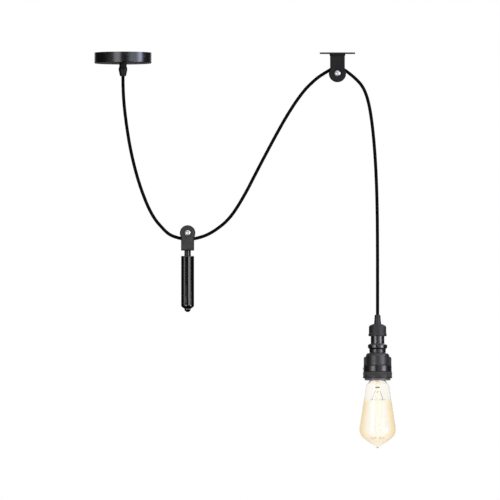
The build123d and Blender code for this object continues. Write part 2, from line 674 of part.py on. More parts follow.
def end_knob():
    radius, spigot = KNOB_DIA / 2, KNOB_SPIGOT_DIA / 2
    top = WEIGHT_FOOT + KNOB_SPIGOT_LENGTH
    foot = WEIGHT_FOOT - radius - KNOB_RISE
    return turned([
        (0, top), (spigot, top, 0.5), (spigot, WEIGHT_FOOT), (radius, WEIGHT_FOOT),
        (radius, foot, KNOB_ROUND_SHARE * radius), (0, foot),
    ], WEIGHT_X)


def weight_block():
    block = Rot(0, 180, 0) * pulley_block(WEIGHT_BLOCK_WIDTH, WEIGHT_BRIDGE)
    foot = -SLOT_REACH - WEIGHT_BRIDGE
    top = foot + STUD_THREAD_LENGTH + FIXED_FIT
    return block - rod((0, 0, foot), (0, 0, top), STUD_THREAD_DIA + 2 * FIXED_FIT)


save_pulley("weight", Pos(WEIGHT_X, 0, WEIGHT_AXLE_Z), weight_block())
save("weight_stud", stud())
save("weight_cylinder", weight_cylinder())
save("weight_end_knob", end_knob())


# Lampholder: grip, cap, nipple and collar above the cast shell
def lamp_grip():
    bore = LAMP_SPIGOT_DIA / 2 + FIXED_FIT
    spigot_top = CAP_TOP + LAMP_SPIGOT_RISE + FIXED_FIT
    return turned([
        (CORD_BORE, LAMP_MOUTH), (LAMP_GRIP_MOUTH_DIA / 2, LAMP_MOUTH, 0.7),
        (LAMP_GRIP_FOOT_DIA / 2, CAP_TOP), (bore, CAP_TOP), (bore, spigot_top), (CORD_BORE, spigot_top),
    ], LAMP_X)


def lamp_spigot():
    top = CAP_TOP + LAMP_SPIGOT_RISE
    foot = CAP_TOP - LAMP_SPIGOT_DEPTH
    outer = LAMP_SPIGOT_DIA / 2
    return turned([(CORD_BORE, top), (outer, top), (outer, foot), (CORD_BORE, foot)], LAMP_X)


def lamp_cap():
    hole = LAMP_SPIGOT_DIA / 2 + FIXED_FIT
    side, lip = CAP_DIA / 2, CAP_LIP_DIA / 2
    thread = NIPPLE_DIA / 2 + FIXED_FIT
    lip_top = CAP_FOOT + CAP_LIP_HEIGHT
    thread_top = CAP_FOOT + NIPPLE_IN_CAP + FIXED_FIT
    cavity = CAP_CAVITY_DIA / 2
    ceiling = CAP_TOP - CAP_TOP_WALL
    return turned([
        (hole, CAP_TOP), (CAP_CROWN_DIA / 2, CAP_TOP, 2.0),
        (side, CAP_TOP - CAP_CROWN_DROP, CAP_SHOULDER_ROUND), (side, lip_top),
        (lip, lip_top - (lip - side), 0.3), (lip, CAP_FOOT, 0.9), (thread, CAP_FOOT),
        (thread, thread_top), (cavity, thread_top), (cavity, ceiling), (hole, ceiling),
    ], LAMP_X)


def nipple():
    outer = NIPPLE_DIA / 2
    inner = outer - NIPPLE_WALL
    top = CAP_FOOT + NIPPLE_IN_CAP
    foot = DOME_TOP + FIXED_FIT
    return turned([(inner, top), (outer, top), (outer, foot), (inner, foot)], LAMP_X)


def collar():
    bore = NIPPLE_DIA / 2 + FIXED_FIT
    outer = COLLAR_DIA / 2
    return turned([
        (bore, COLLAR_TOP), (COLLAR_TOP_DIA / 2, COLLAR_TOP), (outer, COLLAR_TOP - COLLAR_BEVEL, 0.5),
        (outer, NECK_TOP + COLLAR_BEVEL, 0.5), (NECK_DIA / 2, NECK_TOP), (bore, NECK_TOP),
    ], LAMP_X)


save("lamp_grip", lamp_grip())
save("lamp_grip_spigot", lamp_spigot())
nut_foot = CAP_TOP - CAP_TOP_WALL - LAMP_LOCKNUT_HEIGHT
locknut = hex_nut(LAMP_LOCKNUT_FLATS, LAMP_LOCKNUT_HEIGHT, LAMP_SPIGOT_DIA, nut_foot, LAMP_X)
save("lamp_grip_locknut", locknut)
save("lamp_cap", lamp_cap())
save("lamp_nipple", nipple())
save("lamp_collar", collar())
save("lamp_cord_end", rod((LAMP_X, 0, LAMP_MOUTH), (LAMP_X, 0, LAMP_TAIL_FOOT), CORD_DIA))


# Cast shell with a lug on each side, and the ring that clamps the insulator's flange against it
FLANGE_TOP = SHELL_FOOT + SOCKET_FLANGE_HEIGHT
FLANGE_BORE = SPIGOT_DIA / 2 - SPIGOT_WALL
INSULATOR_BORE = BODY_DIA / 2 - BODY_WALL


def shell_lugs():
    """Two upright lugs on the shell's sides, rounded at the top."""
    inner = BODY_DIA / 2 - BODY_WALL / 2
    outer = LUG_DIA / 2
    top, foot = BODY_TOP + LUG_RISE, BAND_TOP
    band = turned([(inner, top), (outer, top, LUG_TOP_ROUND), (outer, foot), (inner, foot)])
    sides = Pos(0, 0, (top + foot) / 2) * Box(2 * LUG_DIA, LUG_WIDTH, top - foot)
    return Pos(LAMP_X, 0, 0) * (band & sides)


def lamp_shell():
    bore = NIPPLE_DIA / 2 + FIXED_FIT
    neck, body, band, spigot = NECK_DIA / 2, BODY_DIA / 2, BAND_DIA / 2, SPIGOT_DIA / 2
    stop = NIPPLE_DIA / 2 - NIPPLE_WALL
    groove = neck - NECK_GROOVE
    shell = turned([
        (bore, NECK_TOP), (neck, NECK_TOP, 0.4), (neck, DOME_TOP + 2 * NECK_GROOVE),
        (groove, DOME_TOP + NECK_GROOVE), (groove, DOME_TOP), (body, DOME_TOP - NECK_GROOVE, DOME_ROUND),
        (body, BAND_TOP), (band, BAND_TOP, 0.6),
        (band, RING_TOP, 0.6), (spigot, RING_TOP), (spigot, SHELL_FOOT), (FLANGE_BORE, SHELL_FOOT),
        (FLANGE_BORE, FLANGE_TOP), (INSULATOR_BORE, FLANGE_TOP), (INSULATOR_BORE, BODY_TOP, 3.0),
        (stop, DOME_TOP - BODY_WALL), (stop, DOME_TOP), (bore, DOME_TOP),
    ], LAMP_X)
    return shell + shell_lugs() - set_screw_bar(SET_SCREW_DIA + 2 * FIXED_FIT)


def set_screw_bar(diameter):
    level = (BAND_TOP + RING_TOP) / 2
    inner = INSULATOR_BORE - FIXED_FIT
    outer = BAND_DIA / 2 + SET_SCREW_PROUD
    return rod((LAMP_X - outer, 0, level), (LAMP_X - inner, 0, level), diameter)


def set_screw():
    level = (BAND_TOP + RING_TOP) / 2
    outer = LAMP_X - BAND_DIA / 2 - SET_SCREW_PROUD
    return set_screw_bar(SET_SCREW_DIA) - Pos(outer, 0, level) * Box(1.6, SET_SCREW_DIA, 0.6)


def retaining_ring():
    side, flange, rim = RING_DIA / 2, RING_FLANGE_DIA / 2, RIM_DIA / 2
    thread = SPIGOT_DIA / 2 + 3 * FIXED_FIT
    shoulder = SHELL_FOOT - 4 * FIXED_FIT
    flange_top = RIM_TOP + RING_FLANGE_HEIGHT
    bore = RING_BORE_DIA / 2
    ring = turned([
        (thread, RING_TOP), (side, RING_TOP, 0.5), (side, flange_top),
        (flange, flange_top - (flange - side), 0.3), (flange, RIM_TOP, 0.8),
        (rim, RIM_TOP), (rim, RIM_FOOT, 0.9), (bore, RIM_FOOT),
        (bore, shoulder), (thread, shoulder),
    ], LAMP_X)
    gap = Pos(bore + TOOTH_GAP_REACH / 2, 0, RIM_FOOT + TOOTH_GAP_HEIGHT / 2)
    gap *= Box(TOOTH_GAP_REACH + 2 * FIXED_FIT, TOOTH_GAP_WIDTH, TOOTH_GAP_HEIGHT)
    for tooth in range(TOOTH_COUNT):
        ring -= Pos(LAMP_X, 0, 0) * Rot(0, 0, tooth * 360 / TOOTH_COUNT) * gap
    return ring


save("lamp_shell", lamp_shell())
save("lamp_set_screw", set_screw())
save("lamp_retaining_ring", retaining_ring())


# Screw socket inside the shell: insulator, screw shell, centre contact, terminal screws and cores
def socket_screw_places():
    return [LAMP_X + side * SOCKET_SCREW_SPACING / 2 for side in (-1, 1)]


def insulator():
    outer = INSULATOR_BORE - SET_SCREW_GAP
    flange = FLANGE_BORE - 4 * FIXED_FIT
    bore = SCREW_SHELL_DIA / 2 + FIXED_FIT
    seat = FLANGE_TOP - FIXED_FIT
    body = turned([
        (0, SOCKET_TOP), (outer, SOCKET_TOP, 1.0), (outer, seat), (flange, seat),
        (flange, SHELL_FOOT), (bore, SHELL_FOOT), (bore, SOCKET_FLOOR_Z), (0, SOCKET_FLOOR_Z),
    ], LAMP_X)
    for x in socket_screw_places():
        depth = SOCKET_TOP - SOCKET_SCREW_LENGTH - FIXED_FIT
        body -= rod((x, 0, depth), (x, 0, SOCKET_TOP), SOCKET_SCREW_DIA + 2 * FIXED_FIT)
    return body


def screw_shell():
    outer = SCREW_SHELL_DIA / 2
    inner = outer - SCREW_SHELL_WALL
    base = SOCKET_FLOOR_Z - SCREW_SHELL_WALL
    hole = SCREW_SHELL_HOLE_DIA / 2
    return turned([
        (hole, SOCKET_FLOOR_Z), (outer, SOCKET_FLOOR_Z), (outer, SHELL_FOOT), (inner, SHELL_FOOT),
        (inner, base), (hole, base),
    ], LAMP_X)


def socket_screw(x):
    head, shaft = SOCKET_SCREW_HEAD_DIA / 2, SOCKET_SCREW_DIA / 2
    top = SOCKET_TOP + SOCKET_SCREW_HEAD_HEIGHT
    foot = SOCKET_TOP - SOCKET_SCREW_LENGTH
    return turned([
        (0, top), (head, top, 0.5), (head, SOCKET_TOP), (shaft, SOCKET_TOP), (shaft, foot), (0, foot),
    ], x)


def lamp_core(side):
    x = LAMP_X + side * CORE_PITCH / 2
    end_x = LAMP_X + side * SOCKET_SCREW_SPACING / 2
    end_z = SOCKET_TOP + SOCKET_SCREW_HEAD_HEIGHT
    route = [(x, 0, LAMP_TAIL_FOOT), (x, 0, DOME_TOP), (end_x, 0, end_z + CORE_END_RUN), (end_x, 0, end_z)]
    return tube(route, CORE_DIA, [2 * CORE_DIA, 1.2 * CORE_DIA])[0]


save("socket_insulator", insulator())
save("socket_screw_shell", screw_shell())
contact_foot = SOCKET_FLOOR_Z - CONTACT_THICKNESS
save("socket_centre_contact", rod((LAMP_X, 0, contact_foot), (LAMP_X, 0, SOCKET_FLOOR_Z), CONTACT_DIA))
save("socket_terminal_screws", *[socket_screw(x) for x in socket_screw_places()])
save("lamp_core_live", lamp_core(1))
save("lamp_core_neutral", lamp_core(-1))


# Bulb: screw base, pear-shaped glass, stem, cage of support wires and filament
def base_shell():
    """Screw shell drawn as one rounded ridge for each turn of the thread."""
    crest, root, bore = BASE_DIA / 2, BASE_DIA / 2 - BASE_THREAD_DEPTH, BASE_BORE_DIA / 2
    ridges = []
    for turn in range(BASE_THREAD_TURNS):
        top = BASE_SHELL_TOP - turn * BASE_THREAD_PITCH
        ridges += [(root, top), (crest, top - BASE_THREAD_PITCH / 2, 0.6)]
    skirt = BASE_SHELL_FOOT + BASE_SKIRT
    foot = BASE_SHELL_FOOT
    return turned([(bore, BASE_SHELL_TOP)] + ridges + [(root, skirt), (root, foot), (bore, foot)], LAMP_X)


def base_insulator():
    seat = BASE_BORE_DIA / 2 - FIXED_FIT
    tip = BASE_TIP_DIA / 2
    foot = BASE_SHELL_TOP - BASE_CONE_SEAT
    top = BASE_CONE_TOP
    return turned([(0, top), (tip, top), (seat, BASE_SHELL_TOP), (seat, foot), (0, foot)], LAMP_X)


def contact_tip():
    radius = BASE_TIP_DIA / 2
    foot = BASE_CONE_TOP
    return turned([(0, BULB_TOP), (radius, BULB_TOP, 1.2), (radius, foot), (0, foot)], LAMP_X)


def inset_outline(points, amount):
    """Moves the sides of an outline of (radius, height) points inward; its last point stays on the axis."""
    sides = []
    for before, after in zip(points, points[1:]):
        run = (after[0] - before[0], after[1] - before[1])
        shift = amount / hypot(run[0], run[1])
        sides.append((before[0] + run[1] * shift, before[1] - run[0] * shift, run[0], run[1]))
    moved = [sides[0][:2]]
    for side, following in zip(sides, sides[1:]):
        across_both = side[2] * following[3] - side[3] * following[2]
        apart = (following[0] - side[0], following[1] - side[1])
        share = (apart[0] * following[3] - apart[1] * following[2]) / across_both
        moved.append((side[0] + share * side[2], side[1] + share * side[3]))
    return moved + [(0, sides[-1][1])]


def glass_solid(inset):
    """Pear turned from a neck, a round shoulder, a straight side, a round belly and a conical foot."""
    lean = radians(GLASS_FOOT_ANGLE)
    wide = BULB_DIA / 2
    foot = BULB_FOOT + EXHAUST_TIP_HEIGHT
    apex = foot - GLASS_TIP_ROUND * (1 / cos(lean) - 1)
    middle = wide - GLASS_SIDE_ROUND
    level = apex + middle * tan(lean) + GLASS_SIDE_ROUND / cos(lean)
    shoulder = GLASS_SHOULDER_DIA / 2
    shoulder_z = BASE_SHELL_FOOT - GLASS_SHOULDER_DROP
    apart = (shoulder - middle, shoulder_z - level)
    slope = atan2(apart[1], apart[0]) - acos(GLASS_SIDE_ROUND / hypot(apart[0], apart[1]))
    drop = (shoulder_z - apex - shoulder * tan(lean)) / (1 + tan(slope) * tan(lean))
    belly = (shoulder + drop * tan(slope), shoulder_z - drop)
    top = BASE_SHELL_FOOT + GLASS_NECK_RISE
    seat = BASE_BORE_DIA / 2 - 2 * FIXED_FIT
    outline = inset_outline([
        (seat, top), (seat, BASE_SHELL_FOOT), (GLASS_NECK_DIA / 2, BASE_SHELL_FOOT - GLASS_NECK_FLARE),
        (shoulder, shoulder_z), belly, ((foot - apex) / tan(lean), foot), (0, foot),
    ], inset)
    rounds = [0, 0, 0, GLASS_SHOULDER_ROUND, GLASS_SIDE_ROUND, 0.95 * GLASS_TIP_ROUND, 0]
    return turned([(0, top)] + [
        (point[0], point[1], max(rounding - inset, 0)) for point, rounding in zip(outline, rounds)
    ], LAMP_X)


def exhaust_tip():
    """Small pointed pip where the bulb was sealed, standing on the round foot."""
    sunk = BULB_FOOT + EXHAUST_TIP_HEIGHT + BULB_GLASS / 2
    point = EXHAUST_TIP_DIA * 0.15
    return turned([
        (0, sunk), (EXHAUST_TIP_DIA / 2, sunk), (point, BULB_FOOT, point / 2), (0, BULB_FOOT),
    ], LAMP_X)


def glass_stem():
    flare = BASE_BORE_DIA / 2 - BULB_GLASS - 4 * FIXED_FIT
    top = BASE_SHELL_FOOT + GLASS_NECK_RISE - 1.0
    waist = STEM_DIA / 2
    foot = top - STEM_LENGTH
    thin = STEM_ROD_DIA / 2
    bead = STEM_BEAD_DIA / 2
    return turned([
        (0, top), (flare, top), (flare, top - 1.0, 0.8), (waist, top - STEM_FLARE_DROP, STEM_WAIST_ROUND),
        (waist, foot + STEM_PRESS_HEIGHT, STEM_PRESS_ROUND), (thin, foot),
        (thin, CAGE_TOP + bead), (bead, CAGE_TOP + bead, 1.2), (bead, CAGE_TOP - bead, 1.2),
        (thin, CAGE_TOP - bead), (thin, CAGE_FOOT + bead), (bead, CAGE_FOOT + bead, 1.2),
        (bead, CAGE_FOOT - bead, 1.2), (0, CAGE_FOOT - bead),
    ], LAMP_X)


def cage_point(step, level, radius=CAGE_DIA / 2):
    """Point on the cage; whole steps are the upper hooks and half steps the lower ones."""
    angle = 2 * pi * step / CAGE_HOOKS
    return LAMP_X + radius * cos(angle), radius * sin(angle), level


def support_wires():
    wires = []
    for hook in range(CAGE_HOOKS):
        for step, level in ((hook, CAGE_TOP), (hook + 0.5, CAGE_FOOT)):
            wires.append(rod(cage_point(step, level, STEM_BEAD_DIA / 2), cage_point(step, level), WIRE_DIA))
    return wires


def filament_strands():
    strands = []
    clear = WIRE_DIA / 2 + FIXED_FIT
    for hook in range(CAGE_HOOKS):
        for low in (hook - 0.5, hook + 0.5):
            lean = 0.06 if low > hook else -0.06
            start = cage_point(hook + lean, CAGE_TOP - clear)
            strands.append(rod(start, cage_point(low - lean, CAGE_FOOT + clear), FILAMENT_DIA))
    return strands


def lead_wires():
    press = BASE_SHELL_FOOT + GLASS_NECK_RISE - STEM_LENGTH
    wires = []
    for step in (0.5, CAGE_HOOKS / 2 + 0.5):
        start = cage_point(step, press + 3.0, STEM_DIA / 2 + FIXED_FIT)
        wires.append(rod(start, cage_point(step, CAGE_TOP + 1.0, CAGE_DIA / 2 * 0.85), WIRE_DIA))
    return wires


save("bulb_base_shell", base_shell())
save("bulb_base_insulator", base_insulator())
save("bulb_contact_tip", contact_tip())
save("bulb_envelope", glass_solid(0) - glass_solid(BULB_GLASS) + exhaust_tip())
save("bulb_stem", glass_stem())
save("bulb_support_wires", *support_wires())
save("bulb_filament", *filament_strands())
save("bulb_lead_wires", *lead_wires())


# Cord: round both sheaves on their pitch circles, and free in between
def cord_round(axle, side, entry_slope, exit_slope):
    """Three points of the cord round a sheave; side is +1 over its top and -1 under its foot."""
    half = radians((entry_slope + exit_slope) / 2)
    lean = radians((entry_slope - exit_slope) / 2)
    reach = PITCH_RADIUS / cos(half)
    corner = (axle[0] - reach * sin(lean), axle[1] + side * reach * cos(lean))
    run = CORD_TAIL_RUN
    entry, leave = radians(entry_slope), radians(exit_slope)
    start = (corner[0] - run * cos(entry), corner[1] - side * run * sin(entry))
    end = (corner[0] + run * cos(leave), corner[1] - side * run * sin(leave))
    return [start, corner, end]


def extended(end, corner, run):
    """Point that carries a straight run on beyond its end."""
    length = sqrt((end[0] - corner[0]) ** 2 + (end[1] - corner[1]) ** 2)
    return tuple(e + (e - c) * run / length for e, c in zip(end, corner))


def save_cord(node, route, radii=None):
    points = [(x, 0, z) for x, z in route]
    solid, line = tube(points, CORD_DIA, radii)
    share = solid.volume / (pi * CORD_RADIUS ** 2 * line.length)
    listed = radii or (corner_radii([Vector(*point) for point in points]) if len(points) > 2 else [])
    listed = [round(radius) for radius in listed]
    print(node, "length", round(line.length, 1), "radii", listed, "volume share", round(share, 4))
    save(node, solid)
    return line.length


under = cord_round((WEIGHT_X, WEIGHT_AXLE_Z), -1, ENTRY_SLOPE_AT_WEIGHT, EXIT_SLOPE_AT_WEIGHT)
over = cord_round((PULLEY_X, CEILING_AXLE_Z), 1, ENTRY_SLOPE_AT_CEILING, EXIT_SLOPE_AT_CEILING)
stretch_top = (LAMP_X, LAMP_MOUTH + LAMP_STRETCH)
first = [(0, CANOPY_MOUTH), (0, CANOPY_MOUTH - CANOPY_EXIT_RUN)] + CANOPY_TO_WEIGHT
first += [extended(under[0], under[1], CORD_END_RUN), under[0]]
second = [under[2], extended(under[2], under[1], CORD_END_RUN)] + WEIGHT_TO_CEILING
second += [extended(over[0], over[1], CORD_END_RUN), over[0]]
third = [over[2], extended(over[2], over[1], CORD_END_RUN)] + CEILING_TO_LAMP
third += [(LAMP_X, stretch_top[1] + LAMP_ENTRY_RUN), stretch_top]

total = save_cord("cord_canopy_to_weight", first)
total += save_cord("cord_under_weight", under, [PITCH_RADIUS])
total += save_cord("cord_weight_to_ceiling", second)
total += save_cord("cord_over_pulley", over, [PITCH_RADIUS])
total += save_cord("cord_ceiling_to_lamp", third)
total += save_cord("cord_lamp_stretch", [stretch_top, (LAMP_X, LAMP_MOUTH)])
print("free cord", round(total, 1))
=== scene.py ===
from math import asin, cos, pi, radians, sin, tau

import bpy
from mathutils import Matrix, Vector


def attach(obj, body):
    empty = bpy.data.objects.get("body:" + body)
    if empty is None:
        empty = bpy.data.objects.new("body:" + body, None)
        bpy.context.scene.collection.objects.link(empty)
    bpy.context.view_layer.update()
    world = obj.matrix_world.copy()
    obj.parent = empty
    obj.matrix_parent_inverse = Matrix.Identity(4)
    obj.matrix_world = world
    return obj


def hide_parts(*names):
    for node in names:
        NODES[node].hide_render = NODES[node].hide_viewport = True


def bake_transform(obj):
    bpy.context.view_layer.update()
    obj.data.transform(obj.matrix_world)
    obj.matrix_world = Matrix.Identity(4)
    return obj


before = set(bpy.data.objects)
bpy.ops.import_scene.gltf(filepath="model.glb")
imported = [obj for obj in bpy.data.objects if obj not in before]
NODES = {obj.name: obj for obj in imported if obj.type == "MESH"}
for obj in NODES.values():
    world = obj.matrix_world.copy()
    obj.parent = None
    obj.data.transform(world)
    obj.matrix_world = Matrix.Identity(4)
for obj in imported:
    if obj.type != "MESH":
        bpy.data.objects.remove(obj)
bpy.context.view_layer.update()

SCENE = bpy.context.scene
MM = 0.001

# Sizes of the object that the pieces below share, in metres
CORD_DIA = 5.8 * MM
LAMP_X = 445.6 * MM
NECK_FOOT = -525.8 * MM
BAND_TOP = -548.0 * MM
RING_TOP = -559.0 * MM
RING_FLANGE = -566.4 * MM
RIM_TOP = -570.0 * MM
RING_RADIUS = 24.9 * MM
KNURL_MIDDLE = (RING_TOP + RING_FLANGE) / 2 + 0.2 * MM
# Levels between which the stem's painted glow turns warmer towards the top
STEM_WARM_TOP = -566.0 * MM
STEM_WARM_FOOT = -582.0 * MM
PRESS_TOP = -585.0 * MM
PRESS_FOOT = -587.0 * MM
WASH_TOP = -607.0 * MM
BULB_FOOT = -692.8 * MM
CAGE_TOP = -607.8 * MM
CAGE_FOOT = -674.8 * MM
CAGE_RADIUS = 12.0 * MM
CAGE_HOOKS = 8
COIL_RING_RADIUS = 11.85 * MM
COIL_LENGTH = 65.2 * MM
COIL_SIDE_STEP = 4.2 * MM

# The cord's braid, and how finely its tube is divided
BRAID_STRANDS = 8
BRAID_PITCH = 3.4 * MM
BRAID_RELIEF = 0.08 * MM
TUBE_SIDES = 48
TUBE_STEP = 0.36 * MM

# The cord's route, as x and z in millimetres
CANOPY_TO_WEIGHT = [
    (0, -41.2), (0, -71.2), (5, -120), (14, -176), (29, -233), (50, -285), (73, -312),
    (85.817, -321.540), (98.431, -324.685),
]
UNDER_WEIGHT = [(98.431, -324.685), (111.727, -328), (114.461, -328), (127.657, -325.195)]
WEIGHT_TO_CEILING = [
    (127.657, -325.195), (140.373, -322.492), (161, -312), (187, -291), (211.5, -252.5),
    (235, -206.5), (262, -155), (288, -108), (315, -68), (337, -46.5), (351.745, -36.359),
    (363.003, -29.859),
]
OVER_PULLEY = [(363.003, -29.859), (372.285, -24.5), (379.169, -24.5), (388.429, -30.746)]
CEILING_TO_LAMP = [
    (388.429, -30.746), (399.207, -38.016), (418.5, -56.5), (427.5, -77), (433.8, -106),
    (438.8, -148), (442.6, -199), (444.9, -263), (445.6, -335), (445.6, -395),
]
ABOVE_LAMP = [(445.6, -395), (445.6, -424), (445.6, -459)]


# Node helpers
def put(tree, kind, props=None, **inputs):
    """Adds a node, sets its properties, and sets or links its inputs; a, b and c are the first three."""
    node = tree.nodes.new(kind)
    for name, value in (props or {}).items():
        setattr(node, name, value)
    for name, value in inputs.items():
        place = "abc".index(name) if name in "abc" else name.replace("_", " ")
        socket = node.inputs[place]
        if isinstance(value, bpy.types.NodeSocket):
            tree.links.new(value, socket)
        else:
            socket.default_value = value
    return node


def sums(tree, operation, a, b=0.0, c=0.0, clamp=False):
    """A sum on up to three values."""
    props = {"operation": operation, "use_clamp": clamp}
    return put(tree, "ShaderNodeMath", props, a=a, b=b, c=c).outputs[0]


def ranged(tree, value, low, high, start=0.0, end=1.0):
    """Eases a value from one range to another."""
    props = {"interpolation_type": "SMOOTHSTEP"}
    return put(
        tree, "ShaderNodeMapRange", props, Value=value, From_Min=low, From_Max=high, To_Min=start, To_Max=end
    ).outputs["Result"]


def blended(tree, factor, first, second, way="MIX"):
    """Mixes two colours."""
    node = put(tree, "ShaderNodeMix", {"data_type": "RGBA", "blend_type": way})
    for place, value in ((0, factor), (6, first), (7, second)):
        if isinstance(value, bpy.types.NodeSocket):
            tree.links.new(value, node.inputs[place])
        else:
            node.inputs[place].default_value = value if place == 0 else (*value[:3], 1.0)
    return node.outputs[2]


def between(tree, factor, first, second):
    """Mixes two values."""
    node = put(tree, "ShaderNodeMix", {"data_type": "FLOAT"})
    for place, value in ((0, factor), (2, first), (3, second)):
        tree.links.new(value, node.inputs[place])
    return node.outputs[0]


def object_coordinates(tree):
    return put(tree, "ShaderNodeTexCoord").outputs["Object"]


def parts_of(tree, vector):
    """The X, Y and Z of a vector."""
    return put(tree, "ShaderNodeSeparateXYZ", None, a=vector).outputs


def height_in_frame(tree):
    return parts_of(tree, object_coordinates(tree))["Z"]


def noise(tree, vector, scale, detail=3.0, roughness=0.55):
    """Soft noise from 0 to 1."""
    return put(
        tree, "ShaderNodeTexNoise", {"noise_dimensions": "3D"},
        Vector=vector, Scale=scale, Detail=detail, Roughness=roughness,
    ).outputs["Fac"]


def shader_group(name, inputs, outputs):
    """Starts a shader group; inputs are (name, default), and every output is a value."""
    tree = bpy.data.node_groups.new(name, "ShaderNodeTree")
    for label, default in inputs:
        socket = tree.interface.new_socket(label, in_out="INPUT", socket_type="NodeSocketFloat")
        socket.default_value = default
    for label in outputs:
        tree.interface.new_socket(label, in_out="OUTPUT", socket_type="NodeSocketFloat")
    return tree, tree.nodes.new("NodeGroupInput").outputs, tree.nodes.new("NodeGroupOutput").inputs


def placed(tree, group, **values):
    """Puts a shader group in a material with its own values, and gives its outputs."""
    node = tree.nodes.new("ShaderNodeGroup")
    node.node_tree = group
    for name, value in values.items():
        node.inputs[name.replace("_", " ")].default_value = value
    return node.outputs


# Effects that several finishes share
def make_satin_grain():
    """Fine orange peel of a sprayed or moulded skin, over slow cloudy changes."""
    tree, given, result = shader_group(
        "satin_grain", [("Scale", 900.0), ("Cloud Scale", 40.0)], ["Shade", "Gloss", "Height"]
    )
    place = object_coordinates(tree)
    fine = noise(tree, place, given["Scale"], 2.0)
    cloud = noise(tree, place, given["Cloud Scale"], 4.0)
    tree.links.new(ranged(tree, cloud, 0.3, 0.7, 0.84, 1.16), result["Shade"])
    mixed = sums(tree, "MULTIPLY_ADD", fine, 0.35, sums(tree, "MULTIPLY", cloud, 0.65))
    tree.links.new(ranged(tree, mixed, 0.35, 0.65), result["Gloss"])
    tree.links.new(fine, result["Height"])
    return tree


def make_edge_wear():
    """Masks of edges: rubbed and broken up along their length, and whole, which coated finishes also use for
    painted shade on rounds.
    """
    tree, given, result = shader_group(
        "edge_wear", [("Width", 0.8 * MM), ("Breakup", 260.0), ("Amount", 0.6)], ["Edge", "Bend"]
    )
    rounded = put(tree, "ShaderNodeBevel", {"samples": 6}, Radius=given["Width"]).outputs["Normal"]
    flat = put(tree, "ShaderNodeNewGeometry").outputs["Normal"]
    dot = put(tree, "ShaderNodeVectorMath", {"operation": "DOT_PRODUCT"}, a=rounded, b=flat).outputs["Value"]
    bend = ranged(tree, sums(tree, "SUBTRACT", 1.0, dot), 0.015, 0.16)
    broken = ranged(tree, noise(tree, object_coordinates(tree), given["Breakup"], 4.0, 0.65), 0.38, 0.62)
    worn = sums(tree, "MULTIPLY", bend, sums(tree, "MULTIPLY", broken, given["Amount"]))
    tree.links.new(worn, result["Edge"])
    tree.links.new(bend, result["Bend"])
    return tree


def make_settled_dust():
    """Mask of fine dust on faces that look up."""
    tree, given, result = shader_group("settled_dust", [("Amount", 0.25), ("Scale", 160.0)], ["Dust"])
    normal = put(tree, "ShaderNodeNewGeometry").outputs["Normal"]
    up = parts_of(tree, normal)["Z"]
    patch = ranged(tree, noise(tree, object_coordinates(tree), given["Scale"], 5.0, 0.6), 0.3, 0.75)
    lying = sums(tree, "MULTIPLY", ranged(tree, up, 0.35, 0.95), patch)
    tree.links.new(sums(tree, "MULTIPLY", lying, given["Amount"]), result["Dust"])
    return tree


def make_turned_lines():
    """Fine rings left by a lathe along an upright axis."""
    tree, given, result = shader_group("turned_lines", [("Rings", 5200.0)], ["Shade", "Gloss", "Height"])
    split = parts_of(tree, object_coordinates(tree))
    wander = 18.0
    level = sums(tree, "MULTIPLY", split["Z"], given["Rings"])
    drift = sums(tree, "MULTIPLY", split["X"], wander)
    side = sums(tree, "MULTIPLY", split["Y"], wander)
    place = put(tree, "ShaderNodeCombineXYZ", None, X=drift, Y=side, Z=level).outputs[0]
    rings = noise(tree, place, 1.0, 3.0, 0.7)
    tree.links.new(ranged(tree, rings, 0.25, 0.75, 0.85, 1.15), result["Shade"])
    tree.links.new(ranged(tree, rings, 0.3, 0.7), result["Gloss"])
    tree.links.new(rings, result["Height"])
    return tree


def make_cast_skin():
    """Sand-cast surface: fine pits and grains over a slow unevenness."""
    tree, given, result = shader_group("cast_skin", [("Grain", 1500.0)], ["Shade", "Gloss", "Height"])
    place = object_coordinates(tree)
    grains = put(
        tree, "ShaderNodeTexVoronoi", {"feature": "SMOOTH_F1"},
        Vector=place, Scale=given["Grain"], Smoothness=0.4,
    ).outputs["Distance"]
    pits = noise(tree, place, sums(tree, "MULTIPLY", given["Grain"], 0.34), 4.0, 0.6)
    slow = noise(tree, place, sums(tree, "MULTIPLY", given["Grain"], 0.05), 2.0)
    height = sums(tree, "ADD", sums(tree, "MULTIPLY", grains, 0.55), sums(tree, "MULTIPLY", pits, 0.7))
    tree.links.new(ranged(tree, sums(tree, "ADD", height, slow), 0.7, 1.5, 0.62, 1.5), result["Shade"])
    tree.links.new(ranged(tree, pits, 0.35, 0.65), result["Gloss"])
    tree.links.new(sums(tree, "ADD", height, sums(tree, "MULTIPLY", slow, 1.2)), result["Height"])
    return tree


def make_hairline():
    """Fine scratches and rub marks of handled bright metal."""
    tree, given, result = shader_group("hairline", [("Scale", 700.0)], ["Shade", "Gloss", "Height"])
    place = object_coordinates(tree)
    long = put(tree, "ShaderNodeMapping", None, Vector=place)
    long.inputs["Scale"].default_value = (1.0, 0.06, 1.0)
    long.inputs["Rotation"].default_value = (0.4, 0.3, 0.7)
    lines = noise(tree, long.outputs[0], given["Scale"], 3.0, 0.75)
    cloud = noise(tree, place, 90.0, 3.0)
    tree.links.new(ranged(tree, cloud, 0.3, 0.7, 0.86, 1.08), result["Shade"])
    tree.links.new(ranged(tree, sums(tree, "ADD", lines, cloud), 0.7, 1.3), result["Gloss"])
    tree.links.new(lines, result["Height"])
    return tree


